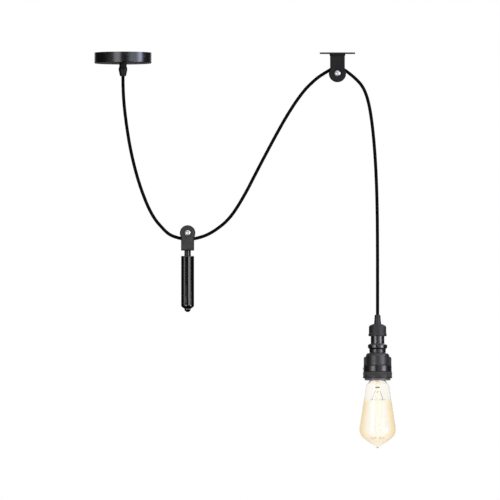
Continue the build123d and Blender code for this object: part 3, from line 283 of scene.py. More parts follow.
def make_braided_cover():
    """Over and under weave of a textile braid, from metres along the cord and turns round it."""
    tree, given, result = shader_group(
        "braided_cover", [("Strands", BRAID_STRANDS), ("Pitch", BRAID_PITCH)], ["Shade", "Height"]
    )
    yarns_in_strand, lint_scale = 5.0, 2600.0
    uv = put(tree, "ShaderNodeUVMap", {"uv_map": "along_and_round"}).outputs[0]
    split = parts_of(tree, uv)
    along = sums(tree, "MULTIPLY", sums(tree, "DIVIDE", split["X"], given["Pitch"]), tau)
    turn = sums(tree, "MULTIPLY", sums(tree, "MULTIPLY", split["Y"], given["Strands"]), tau)
    one_way = sums(tree, "ADD", turn, along)
    other_way = sums(tree, "SUBTRACT", turn, along)
    weave = sums(tree, "MULTIPLY", sums(tree, "COSINE", one_way), sums(tree, "COSINE", other_way))
    yarn = sums(tree, "SINE", sums(tree, "MULTIPLY", one_way, yarns_in_strand))
    cross = sums(tree, "SINE", sums(tree, "MULTIPLY", other_way, yarns_in_strand))
    picked = between(tree, ranged(tree, weave, -0.2, 0.2), yarn, cross)
    lint = noise(tree, object_coordinates(tree), lint_scale, 2.0)
    height = sums(tree, "ADD", weave, sums(tree, "MULTIPLY", picked, 0.3))
    # Shade: painted shade from the weave's height, darker in the hollows and lighter on the crowns
    tree.links.new(ranged(tree, sums(tree, "ADD", height, lint), -1.0, 2.2, 0.45, 1.7), result["Shade"])
    tree.links.new(sums(tree, "ADD", height, sums(tree, "MULTIPLY", lint, 0.6)), result["Height"])
    return tree


SATIN_GRAIN = make_satin_grain()
EDGE_WEAR = make_edge_wear()
SETTLED_DUST = make_settled_dust()
TURNED_LINES = make_turned_lines()
CAST_SKIN = make_cast_skin()
HAIRLINE = make_hairline()
BRAIDED_COVER = make_braided_cover()

DUST_COLOUR = (0.32, 0.30, 0.27)
DUST_DULLING, SIDES_DULLING = 0.5, 0.25


# Finishes
def grey(level):
    return (level, level, level)


def new_finish(name, metallic=0.0, specular=0.5, ior=1.5):
    """An empty material with its shader; constants go straight on the shader's sockets."""
    material = bpy.data.materials.new(name)
    material.use_nodes = True
    tree = material.node_tree
    tree.nodes.clear()
    shader = put(tree, "ShaderNodeBsdfPrincipled")
    shader.inputs["Metallic"].default_value = metallic
    shader.inputs["Specular IOR Level"].default_value = specular
    shader.inputs["IOR"].default_value = ior
    out = put(tree, "ShaderNodeOutputMaterial")
    tree.links.new(shader.outputs[0], out.inputs["Surface"])
    return material, tree, shader


def output_of(tree):
    return next(node for node in tree.nodes if node.type == "OUTPUT_MATERIAL")


def shaded(tree, colour, shade):
    """A colour made lighter and darker by a value."""
    tone = put(tree, "ShaderNodeCombineColor", None, Red=shade, Green=shade, Blue=shade).outputs[0]
    return blended(tree, 1.0, colour, tone, "MULTIPLY")


def rough_between(tree, gloss, rough):
    """Spreads a mask over a finish's lowest and highest roughness."""
    return ranged(tree, gloss, 0.0, 1.0, *rough)


def raised(tree, shader, height, distance, strength=0.5):
    """Fine relief in the shading alone."""
    bump = put(tree, "ShaderNodeBump", None, Height=height, Distance=distance, Strength=strength)
    tree.links.new(bump.outputs[0], shader.inputs["Normal"])


def coated_finish(
    name, colour, rough, grain, depth=0.04 * MM, edge=None, wear=0.0, dust=0.0, sides=None, specular=0.5
):
    """Sprayed, enamelled or moulded skin with orange peel, rubbed edges and a little dust.

    Where sides is given, the faces and rounds that turn away from the front and back take that darker colour
    as painted shade, and turn duller.
    """
    material, tree, shader = new_finish(name, specular=specular)
    skin = placed(tree, SATIN_GRAIN, Scale=grain)
    tint = shaded(tree, colour, skin["Shade"])
    gloss = rough_between(tree, skin["Gloss"], rough)
    # Painted shade: the faces and rounds turned from the front and back are darkened to the sides colour
    if sides:
        normal = put(tree, "ShaderNodeTexCoord").outputs["Normal"]
        front = sums(tree, "ABSOLUTE", parts_of(tree, normal)["Y"])
        rounds = placed(tree, EDGE_WEAR, Width=5.0 * MM)["Bend"]
        side_shade_mask = sums(tree, "MAXIMUM", ranged(tree, front, 0.995, 0.90), rounds)
        tint = blended(tree, side_shade_mask, tint, sides)
        gloss = sums(tree, "MULTIPLY_ADD", side_shade_mask, SIDES_DULLING, gloss)
    if edge:
        worn = placed(tree, EDGE_WEAR, Amount=wear)["Edge"]
        tint = blended(tree, worn, tint, edge)
    if dust:
        lying = placed(tree, SETTLED_DUST, Amount=dust)["Dust"]
        tint = blended(tree, lying, tint, DUST_COLOUR)
        gloss = sums(tree, "ADD", gloss, sums(tree, "MULTIPLY", lying, DUST_DULLING), clamp=True)
    tree.links.new(tint, shader.inputs["Base Color"])
    tree.links.new(gloss, shader.inputs["Roughness"])
    raised(tree, shader, skin["Height"], depth)
    return material


def bright_finish(name, colour, rough, scale, edge=None):
    """Bare or plated metal with hairlines and, where given, rubbed edges."""
    material, tree, shader = new_finish(name, metallic=1.0)
    marks = placed(tree, HAIRLINE, Scale=scale)
    tint = shaded(tree, colour, marks["Shade"])
    if edge:
        worn = placed(tree, EDGE_WEAR, Amount=0.7, Width=0.5 * MM)["Edge"]
        tint = blended(tree, worn, tint, edge)
    tree.links.new(tint, shader.inputs["Base Color"])
    tree.links.new(rough_between(tree, marks["Gloss"], rough), shader.inputs["Roughness"])
    raised(tree, shader, marks["Height"], 0.008 * MM, 0.4)
    return material


def painted_step_shade(tree, level, foot):
    """Mask of painted shade in a thin line just above a step, where two parts meet."""
    above_foot = ranged(tree, level, foot - 0.2 * MM, foot + 0.1 * MM)
    below_top = ranged(tree, level, foot + 1.5 * MM, foot + 0.9 * MM)
    return sums(tree, "MULTIPLY", above_foot, below_top)


def cast_shell_finish():
    """Blackened casting, turned smooth on its neck and its band, with rubbed edges and lines of painted shade
    above its steps.
    """
    material, tree, shader = new_finish("blackened_cast_shell", specular=0.7)
    skin = placed(tree, CAST_SKIN, Grain=1250.0)
    rings = placed(tree, TURNED_LINES, Rings=4200.0)
    level = height_in_frame(tree)
    below_band_top = ranged(tree, level, BAND_TOP + 0.2 * MM, BAND_TOP - 0.2 * MM)
    above_neck_foot = ranged(tree, level, NECK_FOOT - 0.4 * MM, NECK_FOOT)
    smooth = sums(tree, "MAXIMUM", below_band_top, above_neck_foot)
    rough_black = shaded(tree, (0.011, 0.0108, 0.0106), skin["Shade"])
    smooth_black = shaded(tree, (0.008, 0.008, 0.0088), rings["Shade"])
    tint = blended(tree, smooth, rough_black, smooth_black)
    worn = placed(tree, EDGE_WEAR, Width=0.9 * MM, Breakup=420.0, Amount=0.75)["Edge"]
    tint = blended(tree, worn, tint, (0.20, 0.195, 0.19))
    # Painted shade: near-black, duller lines above the band's and the ring's steps, where the parts meet
    step = sums(tree, "MAXIMUM", painted_step_shade(tree, level, BAND_TOP), painted_step_shade(tree, level, RING_TOP))
    tint = blended(tree, sums(tree, "MULTIPLY", step, 0.9), tint, grey(0.002))
    dust = placed(tree, SETTLED_DUST, Amount=0.2)["Dust"]
    tree.links.new(blended(tree, dust, tint, DUST_COLOUR), shader.inputs["Base Color"])
    cast_gloss = rough_between(tree, skin["Gloss"], (0.34, 0.46))
    smooth_gloss = rough_between(tree, rings["Gloss"], (0.23, 0.30))
    gloss = between(tree, smooth, cast_gloss, smooth_gloss)
    relief = between(tree, smooth, skin["Height"], sums(tree, "MULTIPLY", rings["Height"], 0.1))
    tree.links.new(sums(tree, "MAXIMUM", gloss, step), shader.inputs["Roughness"])
    raised(tree, shader, relief, 0.22 * MM, 0.75)
    return material


def turned_black_finish(name, rough, specular):
    """Satin black steel with the fine rings of a lathe and bright rubbed edges."""
    material, tree, shader = new_finish(name, specular=specular)
    rings = placed(tree, TURNED_LINES, Rings=4600.0)
    worn = placed(tree, EDGE_WEAR, Width=0.6 * MM, Breakup=380.0, Amount=0.7)["Edge"]
    dust = placed(tree, SETTLED_DUST, Amount=0.22)["Dust"]
    tint = shaded(tree, (0.007, 0.007, 0.0075), rings["Shade"])
    tint = blended(tree, worn, tint, grey(0.16))
    tree.links.new(blended(tree, dust, tint, DUST_COLOUR), shader.inputs["Base Color"])
    tree.links.new(rough_between(tree, rings["Gloss"], rough), shader.inputs["Roughness"])
    raised(tree, shader, rings["Height"], 0.03 * MM)
    return material


def ring_finish():
    """Rough brown-grey ring whose toothed underside is left as bare metal."""
    material, tree, shader = new_finish("rough_ring_steel", specular=0.42)
    skin = placed(tree, CAST_SKIN, Grain=1700.0)
    level = height_in_frame(tree)
    rim = ranged(tree, level, RIM_TOP - 0.1 * MM, RIM_TOP - 0.9 * MM)
    normal = put(tree, "ShaderNodeNewGeometry").outputs["Normal"]
    looks_down = ranged(tree, parts_of(tree, normal)["Z"], -0.2, -0.7, 0.25, 1.0)
    bare = sums(tree, "MULTIPLY", rim, looks_down)
    worn = placed(tree, EDGE_WEAR, Width=0.6 * MM, Breakup=520.0, Amount=0.8)["Edge"]
    tint = shaded(tree, (0.023, 0.0200, 0.018), skin["Shade"])
    tint = blended(tree, worn, tint, (0.22, 0.20, 0.18))
    steel = shaded(tree, (0.34, 0.37, 0.41), skin["Shade"])
    tree.links.new(blended(tree, bare, tint, steel), shader.inputs["Base Color"])
    tree.links.new(sums(tree, "MULTIPLY", bare, 0.85), shader.inputs["Metallic"])
    tree.links.new(rough_between(tree, skin["Gloss"], (0.34, 0.5)), shader.inputs["Roughness"])
    raised(tree, shader, skin["Height"], 0.14 * MM, 0.7)
    return material


def braid_finish():
    """Black textile braid: soft yarns, painted darker in the hollows of the weave and lighter on their
    crowns, as painted shade.
    """
    material, tree, shader = new_finish("black_textile_braid", specular=0.05)
    weave = placed(tree, BRAIDED_COVER)
    lint = noise(tree, object_coordinates(tree), 320.0, 4.0, 0.6)
    tint = shaded(tree, (0.0018, 0.0018, 0.0019), weave["Shade"])
    tint = blended(tree, ranged(tree, lint, 0.55, 0.85, 0.0, 0.08), tint, (0.02, 0.0195, 0.019))
    tree.links.new(tint, shader.inputs["Base Color"])
    tree.links.new(ranged(tree, weave["Shade"], 0.45, 1.7, 0.85, 0.6), shader.inputs["Roughness"])
    raised(tree, shader, weave["Height"], 0.09 * MM, 0.6)
    return material


def amber_glass_finish():
    """Clear glass, washed amber below the shoulder, which shows where the wall is seen edge on."""
    material, tree, shader = new_finish("amber_bulb_glass", specular=0.3, ior=1.47)
    shader.inputs["Transmission Weight"].default_value = 1.0
    haze = noise(tree, object_coordinates(tree), 60.0, 4.0)
    level = height_in_frame(tree)
    below_wash_top = ranged(tree, level, WASH_TOP + 5.0 * MM, WASH_TOP - 8.0 * MM)
    paler_at_foot = ranged(tree, level, BULB_FOOT + 4.0 * MM, BULB_FOOT + 30.0 * MM, 0.30, 1.0)
    washed = sums(tree, "MULTIPLY", below_wash_top, paler_at_foot)
    facing = put(tree, "ShaderNodeLayerWeight", None, Blend=0.5).outputs["Facing"]
    edge_on = sums(tree, "MULTIPLY", ranged(tree, facing, 0.10, 0.46), washed)
    clear = blended(tree, ranged(tree, haze, 0.35, 0.7, 0.0, 0.6), (1.0, 0.996, 0.98), (1.0, 0.99, 0.955))
    tree.links.new(blended(tree, edge_on, clear, (1.0, 0.86, 0.60)), shader.inputs["Base Color"])
    tree.links.new(ranged(tree, haze, 0.4, 0.7, 0.0, 0.02), shader.inputs["Roughness"])
    body = put(tree, "ShaderNodeVolumeAbsorption")
    body.inputs["Color"].default_value = (1.0, 0.84, 0.55, 1.0)
    body.inputs["Density"].default_value = 60.0
    tree.links.new(body.outputs[0], output_of(tree).inputs["Volume"])
    return material


def stem_glass_finish():
    """Stem glass with a painted glow that stands in for the filament's light, dark where the lead wires are
    pressed in.
    """
    material, tree, shader = new_finish("stem_glass", specular=0.5, ior=1.5)
    shader.inputs["Transmission Weight"].default_value = 0.72
    level = height_in_frame(tree)
    soft = 0.2 * MM
    above_press_foot = ranged(tree, level, PRESS_FOOT - soft, PRESS_FOOT + soft)
    below_press_top = ranged(tree, level, PRESS_TOP + soft, PRESS_TOP - soft)
    press = sums(tree, "MULTIPLY", above_press_foot, below_press_top)
    streak = noise(tree, object_coordinates(tree), 420.0, 3.0)
    tint = blended(tree, streak, (0.98, 0.95, 0.88), (0.92, 0.88, 0.78))
    tree.links.new(blended(tree, press, tint, (0.08, 0.06, 0.05)), shader.inputs["Base Color"])
    # Painted glow: emission that stands in for the filament's light on the stem, warmer towards the top and
    # dimmer at the press
    warm = ranged(tree, level, STEM_WARM_FOOT, STEM_WARM_TOP)
    lit = blended(tree, warm, (1.0, 0.95, 0.80), (1.0, 0.62, 0.34))
    tree.links.new(blended(tree, press, lit, (0.05, 0.035, 0.02)), shader.inputs["Emission Color"])
    shader.inputs["Emission Strength"].default_value = 0.16
    tree.links.new(ranged(tree, streak, 0.3, 0.7, 0.04, 0.16), shader.inputs["Roughness"])
    return material


def filament_finish():
    """Glowing wire, whiter in the middle of its length than at the hooks."""
    material, tree, shader = new_finish("glowing_filament", specular=0.2)
    level = height_in_frame(tree)
    cooler = 12.0 * MM
    above_foot = ranged(tree, level, CAGE_FOOT, CAGE_FOOT + cooler)
    below_top = ranged(tree, level, CAGE_TOP, CAGE_TOP - cooler)
    middle = sums(tree, "MULTIPLY", above_foot, below_top)
    flicker = noise(tree, object_coordinates(tree), 240.0, 2.0)
    hot = blended(tree, middle, (1.0, 0.78, 0.40), (1.0, 0.93, 0.62))
    hot = blended(tree, ranged(tree, flicker, 0.35, 0.7, 0.0, 0.3), hot, (1.0, 0.96, 0.78))
    tree.links.new(hot, shader.inputs["Emission Color"])
    shader.inputs["Emission Strength"].default_value = 1.15
    tree.links.new(shaded(tree, (0.30, 0.26, 0.20), flicker), shader.inputs["Base Color"])
    tree.links.new(ranged(tree, flicker, 0.3, 0.7, 0.4, 0.6), shader.inputs["Roughness"])
    return material


CANOPY_BLACK = coated_finish(
    "canopy_satin_black", (0.004, 0.004, 0.0048), rough=(0.23, 0.30), grain=1100.0, depth=0.02 * MM,
    edge=grey(0.08), wear=0.2, dust=0.12, specular=0.75,
)
PLATE_BLACK = coated_finish(
    "plate_satin_black", (0.009, 0.009, 0.0095), rough=(0.30, 0.40), grain=1000.0,
    edge=grey(0.12), wear=0.4, dust=0.2,
)
# sides: painted shade on the block's faces and rounds that turn from the front
CEILING_BLOCK_BLACK = coated_finish(
    "ceiling_block_black", (0.009, 0.009, 0.0088), rough=(0.42, 0.52), grain=1300.0,
    edge=(0.05, 0.05, 0.048), wear=0.12, dust=0.2, sides=(0.0022, 0.0022, 0.0021), specular=0.2,
)
# sides: painted shade on the block's faces and rounds that turn from the front
WEIGHT_BLOCK_GREY = coated_finish(
    "weight_block_grey", (0.032, 0.032, 0.0305), rough=(0.42, 0.52), grain=1300.0,
    edge=(0.12, 0.12, 0.11), wear=0.12, dust=0.2, sides=(0.006, 0.006, 0.0057), specular=0.3,
)
WEIGHT_BLACK = coated_finish(
    "weight_gloss_black", (0.0014, 0.0014, 0.0015), rough=(0.07, 0.10), grain=500.0, depth=0.004 * MM,
    edge=grey(0.06), wear=0.12, dust=0.1, specular=1.0,
)
GRIP_BLACK = coated_finish(
    "moulded_black_plastic", (0.008, 0.008, 0.0083), rough=(0.36, 0.48), grain=1700.0, depth=0.05 * MM,
    edge=grey(0.07), wear=0.35, dust=0.12,
)
GLAND_BLACK = coated_finish(
    "gland_black_plastic", (0.004, 0.004, 0.0042), rough=(0.42, 0.54), grain=1700.0, depth=0.05 * MM,
    edge=grey(0.03), wear=0.3, dust=0.1, specular=0.22,
)
GRIP_RUBBER = coated_finish("grip_rubber", grey(0.016), rough=(0.62, 0.75), grain=1900.0, depth=0.06 * MM)
TERMINAL_WHITE = coated_finish(
    "terminal_plastic", (0.66, 0.64, 0.58), rough=(0.34, 0.44), grain=1500.0,
    edge=(0.72, 0.70, 0.66), wear=0.4, dust=0.1,
)
CORE_BROWN = coated_finish(
    "brown_core_sleeve", (0.115, 0.045, 0.02), rough=(0.38, 0.48), grain=1600.0, depth=0.03 * MM
)
CORE_BLUE = coated_finish(
    "blue_core_sleeve", (0.03, 0.11, 0.36), rough=(0.38, 0.48), grain=1600.0, depth=0.03 * MM
)
SOCKET_BROWN = coated_finish(
    "moulded_socket_insulator", (0.045, 0.026, 0.018), rough=(0.28, 0.38), grain=900.0,
    edge=(0.09, 0.06, 0.045), wear=0.4,
)
BASE_BLACK = coated_finish(
    "bulb_base_glass", (0.012, 0.011, 0.014), rough=(0.12, 0.2), grain=500.0, depth=0.03 * MM
)
ZINC = bright_finish(
    "zinc_plated_steel", (0.58, 0.59, 0.60), rough=(0.26, 0.42), scale=520.0, edge=grey(0.78)
)
BRASS = bright_finish(
    "bright_brass", (0.72, 0.50, 0.20), rough=(0.2, 0.34), scale=640.0, edge=(0.86, 0.68, 0.36)
)
AXLE_CHROME = bright_finish(
    "axle_chrome", (0.66, 0.66, 0.64), rough=(0.44, 0.54), scale=900.0, edge=(0.70, 0.70, 0.69)
)
SHEAVE_METAL = bright_finish(
    "sheave_zinc", (0.26, 0.26, 0.265), rough=(0.3, 0.44), scale=480.0, edge=grey(0.6)
)
# Brass tinted warm copper, partly as painted glow from the filament
BASE_BRASS_AND_GLOW = bright_finish("bulb_base_brass", (0.66, 0.42, 0.20), rough=(0.2, 0.34), scale=420.0)
WIRE_NICKEL = bright_finish("nickel_wire", (0.62, 0.52, 0.36), rough=(0.3, 0.42), scale=900.0)
LEAD_DARK = bright_finish("oxidised_lead_wire", (0.09, 0.065, 0.05), rough=(0.4, 0.55), scale=900.0)
CAST_SHELL = cast_shell_finish()
TURNED_BLACK = turned_black_finish("turned_black_steel", rough=(0.19, 0.24), specular=1.0)
CAP_BLACK = turned_black_finish("brushed_black_cap", rough=(0.54, 0.62), specular=0.62)
RING_STEEL = ring_finish()
CORD_BRAID = braid_finish()
BULB_GLASS = amber_glass_finish()
STEM_GLASS = stem_glass_finish()
FILAMENT = filament_finish()

# The CAD nodes that keep their own shape, by finish
FINISHES = {
    CANOPY_BLACK: ["canopy_cup"],
    ZINC: ["canopy_mounting_bar", "canopy_grip_locknut", "terminal_fixing_screw", "terminal_screws",
           "ceiling_washers", "weight_washers", "lamp_grip_locknut", "lamp_set_screw"],
    PLATE_BLACK: ["canopy_side_screws", "pulley_plate", "pulley_plate_screws"],
    GLAND_BLACK: ["canopy_grip_body", "canopy_grip_nut"],
    GRIP_BLACK: ["lamp_grip", "lamp_grip_spigot"],
    GRIP_RUBBER: ["canopy_grip_collet", "canopy_cord_end", "lamp_cord_end"],
    TERMINAL_WHITE: ["terminal_block"],
    BRASS: ["terminal_inserts", "socket_screw_shell", "socket_centre_contact", "socket_terminal_screws"],
    CORE_BROWN: ["canopy_core_live", "lamp_core_live"],
    CORE_BLUE: ["canopy_core_neutral", "lamp_core_neutral"],
    CEILING_BLOCK_BLACK: ["ceiling_block"],
    WEIGHT_BLOCK_GREY: ["weight_block"],
    AXLE_CHROME: ["ceiling_axle_bolt", "ceiling_axle_nut", "weight_axle_bolt", "weight_axle_nut"],
    SHEAVE_METAL: ["ceiling_sheave", "weight_sheave"],
    WEIGHT_BLACK: ["weight_stud", "weight_cylinder", "weight_end_knob"],
    TURNED_BLACK: ["lamp_nipple", "lamp_collar"],
    CAP_BLACK: ["lamp_cap"],
    CAST_SHELL: ["lamp_shell"],
    RING_STEEL: ["lamp_retaining_ring"],
    SOCKET_BROWN: ["socket_insulator"],
    BASE_BRASS_AND_GLOW: ["bulb_base_shell", "bulb_contact_tip"],
    BASE_BLACK: ["bulb_base_insulator"],
    BULB_GLASS: ["bulb_envelope"],
    STEM_GLASS: ["bulb_stem"],
    WIRE_NICKEL: ["bulb_support_wires"],
    LEAD_DARK: ["bulb_lead_wires"],
}

for finish, names in FINISHES.items():
    for name in names:
        for place in NODES[name].material_slots:
            place.material = finish


# Cord: one braided lead in six stretches
def cord_line(name, route):
    """The points of a smooth line along the route, about a tube step apart."""
    curve = bpy.data.curves.new(name + "_line", "CURVE")
    curve.dimensions = "3D"
    spline = curve.splines.new("NURBS")
    spline.points.add(len(route) - 1)
    for point, (x, z) in zip(spline.points, route):
        point.co = (x * MM, 0.0, z * MM, 1.0)
    spline.order_u = 3
    spline.use_endpoint_u = True
    runs = [Vector((b[0] - a[0], b[1] - a[1])).length * MM for a, b in zip(route, route[1:])]
    spline.resolution_u = max(4, round(sum(runs) / len(runs) / TUBE_STEP))
    holder = bpy.data.objects.new(name + "_line", curve)
    SCENE.collection.objects.link(holder)
    bpy.context.view_layer.update()
    mesh = bpy.data.meshes.new_from_object(holder)
    points = [vertex.co.copy() for vertex in mesh.vertices]
    bpy.data.objects.remove(holder)
    bpy.data.meshes.remove(mesh)
    return points


def braided_cord(name, route, travelled=0.0):
    """Closed tube along the line, its wall raised into the diamonds of a braid.

    What the cord has travelled before this stretch keeps the braid in step from one to the next.
    """
    line = cord_line(name, route)
    across = Vector((0, 1, 0))
    sides = TUBE_SIDES
    verts, faces, lengths = [], [], []
    along = travelled
    for index, point in enumerate(line):
        before, after = line[max(index - 1, 0)], line[min(index + 1, len(line) - 1)]
        side = (after - before).normalized().cross(across)
        if index:
            along += (point - line[index - 1]).length
        lengths.append(along)
        run = tau * along / BRAID_PITCH
        for step in range(sides):
            turn = tau * step / sides
            weave = cos(BRAID_STRANDS * turn + run) * cos(BRAID_STRANDS * turn - run)
            radius = CORD_DIA / 2 - BRAID_RELIEF * (0.5 - 0.5 * weave)
            verts.append(point + (side * cos(turn) + across * sin(turn)) * radius)
    for ring in range(len(line) - 1):
        near, far = ring * sides, (ring + 1) * sides
        for step in range(sides):
            beside = (step + 1) % sides
            faces.append((near + step, near + beside, far + beside, far + step))
    walls = len(faces)
    for ring, end in ((0, line[0]), (len(line) - 1, line[-1])):
        middle = len(verts)
        verts.append(end)
        for step in range(sides):
            edge = (ring * sides + step, ring * sides + (step + 1) % sides)
            faces.append((middle, edge[1], edge[0]) if ring == 0 else (middle, edge[0], edge[1]))
    mesh = bpy.data.meshes.new(name)
    mesh.from_pydata(verts, [], faces)
    layer = mesh.uv_layers.new(name="along_and_round")
    for face in mesh.polygons:
        face.use_smooth = face.index < walls
        corners = [mesh.loops[place].vertex_index for place in face.loop_indices]
        closes = any(corner % sides == sides - 1 for corner in corners)
        for place, corner in zip(face.loop_indices, corners):
            ring, step = divmod(min(corner, len(line) * sides - 1), sides)
            turned = 1.0 if closes and step == 0 else step / sides
            layer.data[place].uv = (lengths[ring], turned)
    mesh.materials.append(CORD_BRAID)
    piece = bpy.data.objects.new(name, mesh)
    SCENE.collection.objects.link(piece)
    return piece, line, along


canopy_run, canopy_line, reach = braided_cord("braided_cord_canopy_to_weight", CANOPY_TO_WEIGHT)
under_run, _, reach = braided_cord("braided_cord_under_weight", UNDER_WEIGHT, reach)
middle_run, middle_line, reach = braided_cord("braided_cord_weight_to_ceiling", WEIGHT_TO_CEILING, reach)
over_run, _, reach = braided_cord("braided_cord_over_pulley", OVER_PULLEY, reach)
lamp_run, lamp_line, reach = braided_cord("braided_cord_ceiling_to_lamp", CEILING_TO_LAMP, reach)
grip_run, grip_line, _ = braided_cord("braided_cord_above_lamp", ABOVE_LAMP, reach)

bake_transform(canopy_run)
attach(under_run, "weight_carriage")
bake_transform(middle_run)
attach(over_run, "ceiling_fittings")
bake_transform(lamp_run)
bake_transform(grip_run)
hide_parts("cord_canopy_to_weight")
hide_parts("cord_under_weight")
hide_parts("cord_weight_to_ceiling")
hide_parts("cord_over_pulley")
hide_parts("cord_ceiling_to_lamp")
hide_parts("cord_lamp_stretch")


# Repeated details, made with Geometry Nodes
def grown(name, tree, finish, sizes, body):
    """Runs a tree with its own sizes, keeps the result as a plain mesh, and sets it on its body."""
    values = {"Finish": finish, **sizes}
    holder = bpy.data.objects.new(name, bpy.data.meshes.new(name + "_start"))
    SCENE.collection.objects.link(holder)
    growth = holder.modifiers.new("growth", "NODES")
    growth.node_group = tree
    for item in tree.interface.items_tree:
        if item.item_type == "SOCKET" and item.in_out == "INPUT" and item.name in values:
            growth[item.identifier] = values[item.name]
    bpy.context.view_layer.update()
    mesh = bpy.data.meshes.new_from_object(holder.evaluated_get(bpy.context.evaluated_depsgraph_get()))
    holder.modifiers.clear()
    holder.data = mesh
    mesh.name = name
    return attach(holder, body)


def geometry_tree(name, inputs):
    """Starts a Geometry Nodes tree; inputs are (name, kind, default)."""
    tree = bpy.data.node_groups.new(name, "GeometryNodeTree")
    tree.interface.new_socket("Geometry", in_out="INPUT", socket_type="NodeSocketGeometry")
    tree.interface.new_socket("Geometry", in_out="OUTPUT", socket_type="NodeSocketGeometry")
    for label, kind, default in inputs:
        socket = tree.interface.new_socket(label, in_out="INPUT", socket_type="NodeSocket" + kind)
        if default is not None:
            socket.default_value = default
    return tree, tree.nodes.new("NodeGroupInput").outputs, tree.nodes.new("NodeGroupOutput").inputs


def set_in_ring(tree, given, piece, tilt=None, start=0.0):
    """Stands a piece at each point of a ring, turned with it and tilted, and moves the ring to its centre."""
    points = put(tree, "GeometryNodeMeshCircle", None, Vertices=given["Count"], Radius=given["Ring Radius"])
    number = put(tree, "GeometryNodeInputIndex").outputs[0]
    turn = sums(tree, "MULTIPLY", sums(tree, "DIVIDE", number, given["Count"]), tau)
    aim = put(tree, "ShaderNodeCombineXYZ", None, Z=turn, **(tilt or {})).outputs[0]
    ring = put(
        tree, "GeometryNodeInstanceOnPoints", None,
        Points=points.outputs[0], Instance=piece.outputs[0], Rotation=aim,
    ).outputs[0]
    turned = put(tree, "ShaderNodeCombineXYZ", None, Z=start).outputs[0]
    return put(
        tree, "GeometryNodeTransform", None, Geometry=ring, Translation=given["Centre"], Rotation=turned
    ).outputs[0]


def finish_tree(tree, given, result, instances, smooth):
    """Ends a tree with real geometry, its shading and its material."""
    solid = put(tree, "GeometryNodeRealizeInstances", None, a=instances).outputs[0]
    soft = put(tree, "GeometryNodeSetShadeSmooth", None, Geometry=solid, Shade_Smooth=smooth).outputs[0]
    dressed = put(tree, "GeometryNodeSetMaterial", None, Geometry=soft, Material=given["Finish"]).outputs[0]
    tree.links.new(dressed, result[0])
    return tree


def make_bar_ring():
    """A ring of upright round bars, half sunk in the cylinder that they stand on."""
    tree, given, result = geometry_tree("bar_ring", [
        ("Count", "Int", 24), ("Ring Radius", "Float", 0.01), ("Bar Radius", "Float", 0.0005),
        ("Bar Length", "Float", 0.01), ("Centre", "Vector", (0.0, 0.0, 0.0)), ("Finish", "Material", None),
    ])
    bar = put(
        tree, "GeometryNodeMeshCylinder", {"fill_type": "TRIANGLE_FAN"},
        Vertices=10, Radius=given["Bar Radius"], Depth=given["Bar Length"],
    )
    return finish_tree(tree, given, result, set_in_ring(tree, given, bar), False)


def make_coil_cage():
    """Upright coils of fine wire in a ring, leaning to and fro between the hooks."""
    tree, given, result = geometry_tree("coil_cage", [
        ("Count", "Int", 16), ("Ring Radius", "Float", 0.0118), ("Coil Radius", "Float", 0.0003),
        ("Wire Radius", "Float", 0.0001), ("Height", "Float", 0.066), ("Turns", "Float", 70.0),
        ("Lean", "Float", 0.06), ("Centre", "Vector", (0.0, 0.0, 0.0)), ("Finish", "Material", None),
    ])
    coil = put(
        tree, "GeometryNodeCurveSpiral", None, Resolution=7, Rotations=given["Turns"],
        Start_Radius=given["Coil Radius"], End_Radius=given["Coil Radius"], Height=given["Height"],
    )
    wire = put(tree, "GeometryNodeCurvePrimitiveCircle", None, Resolution=4, Radius=given["Wire Radius"])
    strand = put(
        tree, "GeometryNodeCurveToMesh", None,
        Curve=coil.outputs[0], Profile_Curve=wire.outputs[0], Fill_Caps=True,
    )
    half = sums(tree, "MULTIPLY", given["Height"], -0.5)
    drop = put(tree, "ShaderNodeCombineXYZ", None, Z=half).outputs[0]
    centred = put(tree, "GeometryNodeTransform", None, Geometry=strand.outputs[0], Translation=drop)
    number = put(tree, "GeometryNodeInputIndex").outputs[0]
    to_and_fro = sums(tree, "SUBTRACT", sums(tree, "MULTIPLY", sums(tree, "MODULO", number, 2.0), 2.0), 1.0)
    tilt = {"X": sums(tree, "MULTIPLY", to_and_fro, given["Lean"])}
    ring = set_in_ring(tree, given, centred, tilt, sums(tree, "DIVIDE", pi, given["Count"]))
    return finish_tree(tree, given, result, ring, True)


def make_hook_ring():
    """A ring of small wire eyes that the coils hang on."""
    tree, given, result = geometry_tree("hook_ring", [
        ("Count", "Int", 8), ("Ring Radius", "Float", 0.012), ("Eye Radius", "Float", 0.0008),
        ("Wire Radius", "Float", 0.0002), ("Start", "Float", 0.0), ("Centre", "Vector", (0.0, 0.0, 0.0)),
        ("Finish", "Material", None),
    ])
    loop = put(tree, "GeometryNodeCurvePrimitiveCircle", None, Resolution=14, Radius=given["Eye Radius"])
    wire = put(tree, "GeometryNodeCurvePrimitiveCircle", None, Resolution=6, Radius=given["Wire Radius"])
    eye = put(tree, "GeometryNodeCurveToMesh", None, Curve=loop.outputs[0], Profile_Curve=wire.outputs[0])
    upright = put(tree, "GeometryNodeTransform", None, Geometry=eye.outputs[0], Rotation=(pi / 2, 0.0, 0.0))
    ring = set_in_ring(tree, given, upright, start=given["Start"])
    return finish_tree(tree, given, result, ring, True)


BAR_RING = make_bar_ring()
COIL_CAGE = make_coil_cage()
HOOK_RING = make_hook_ring()

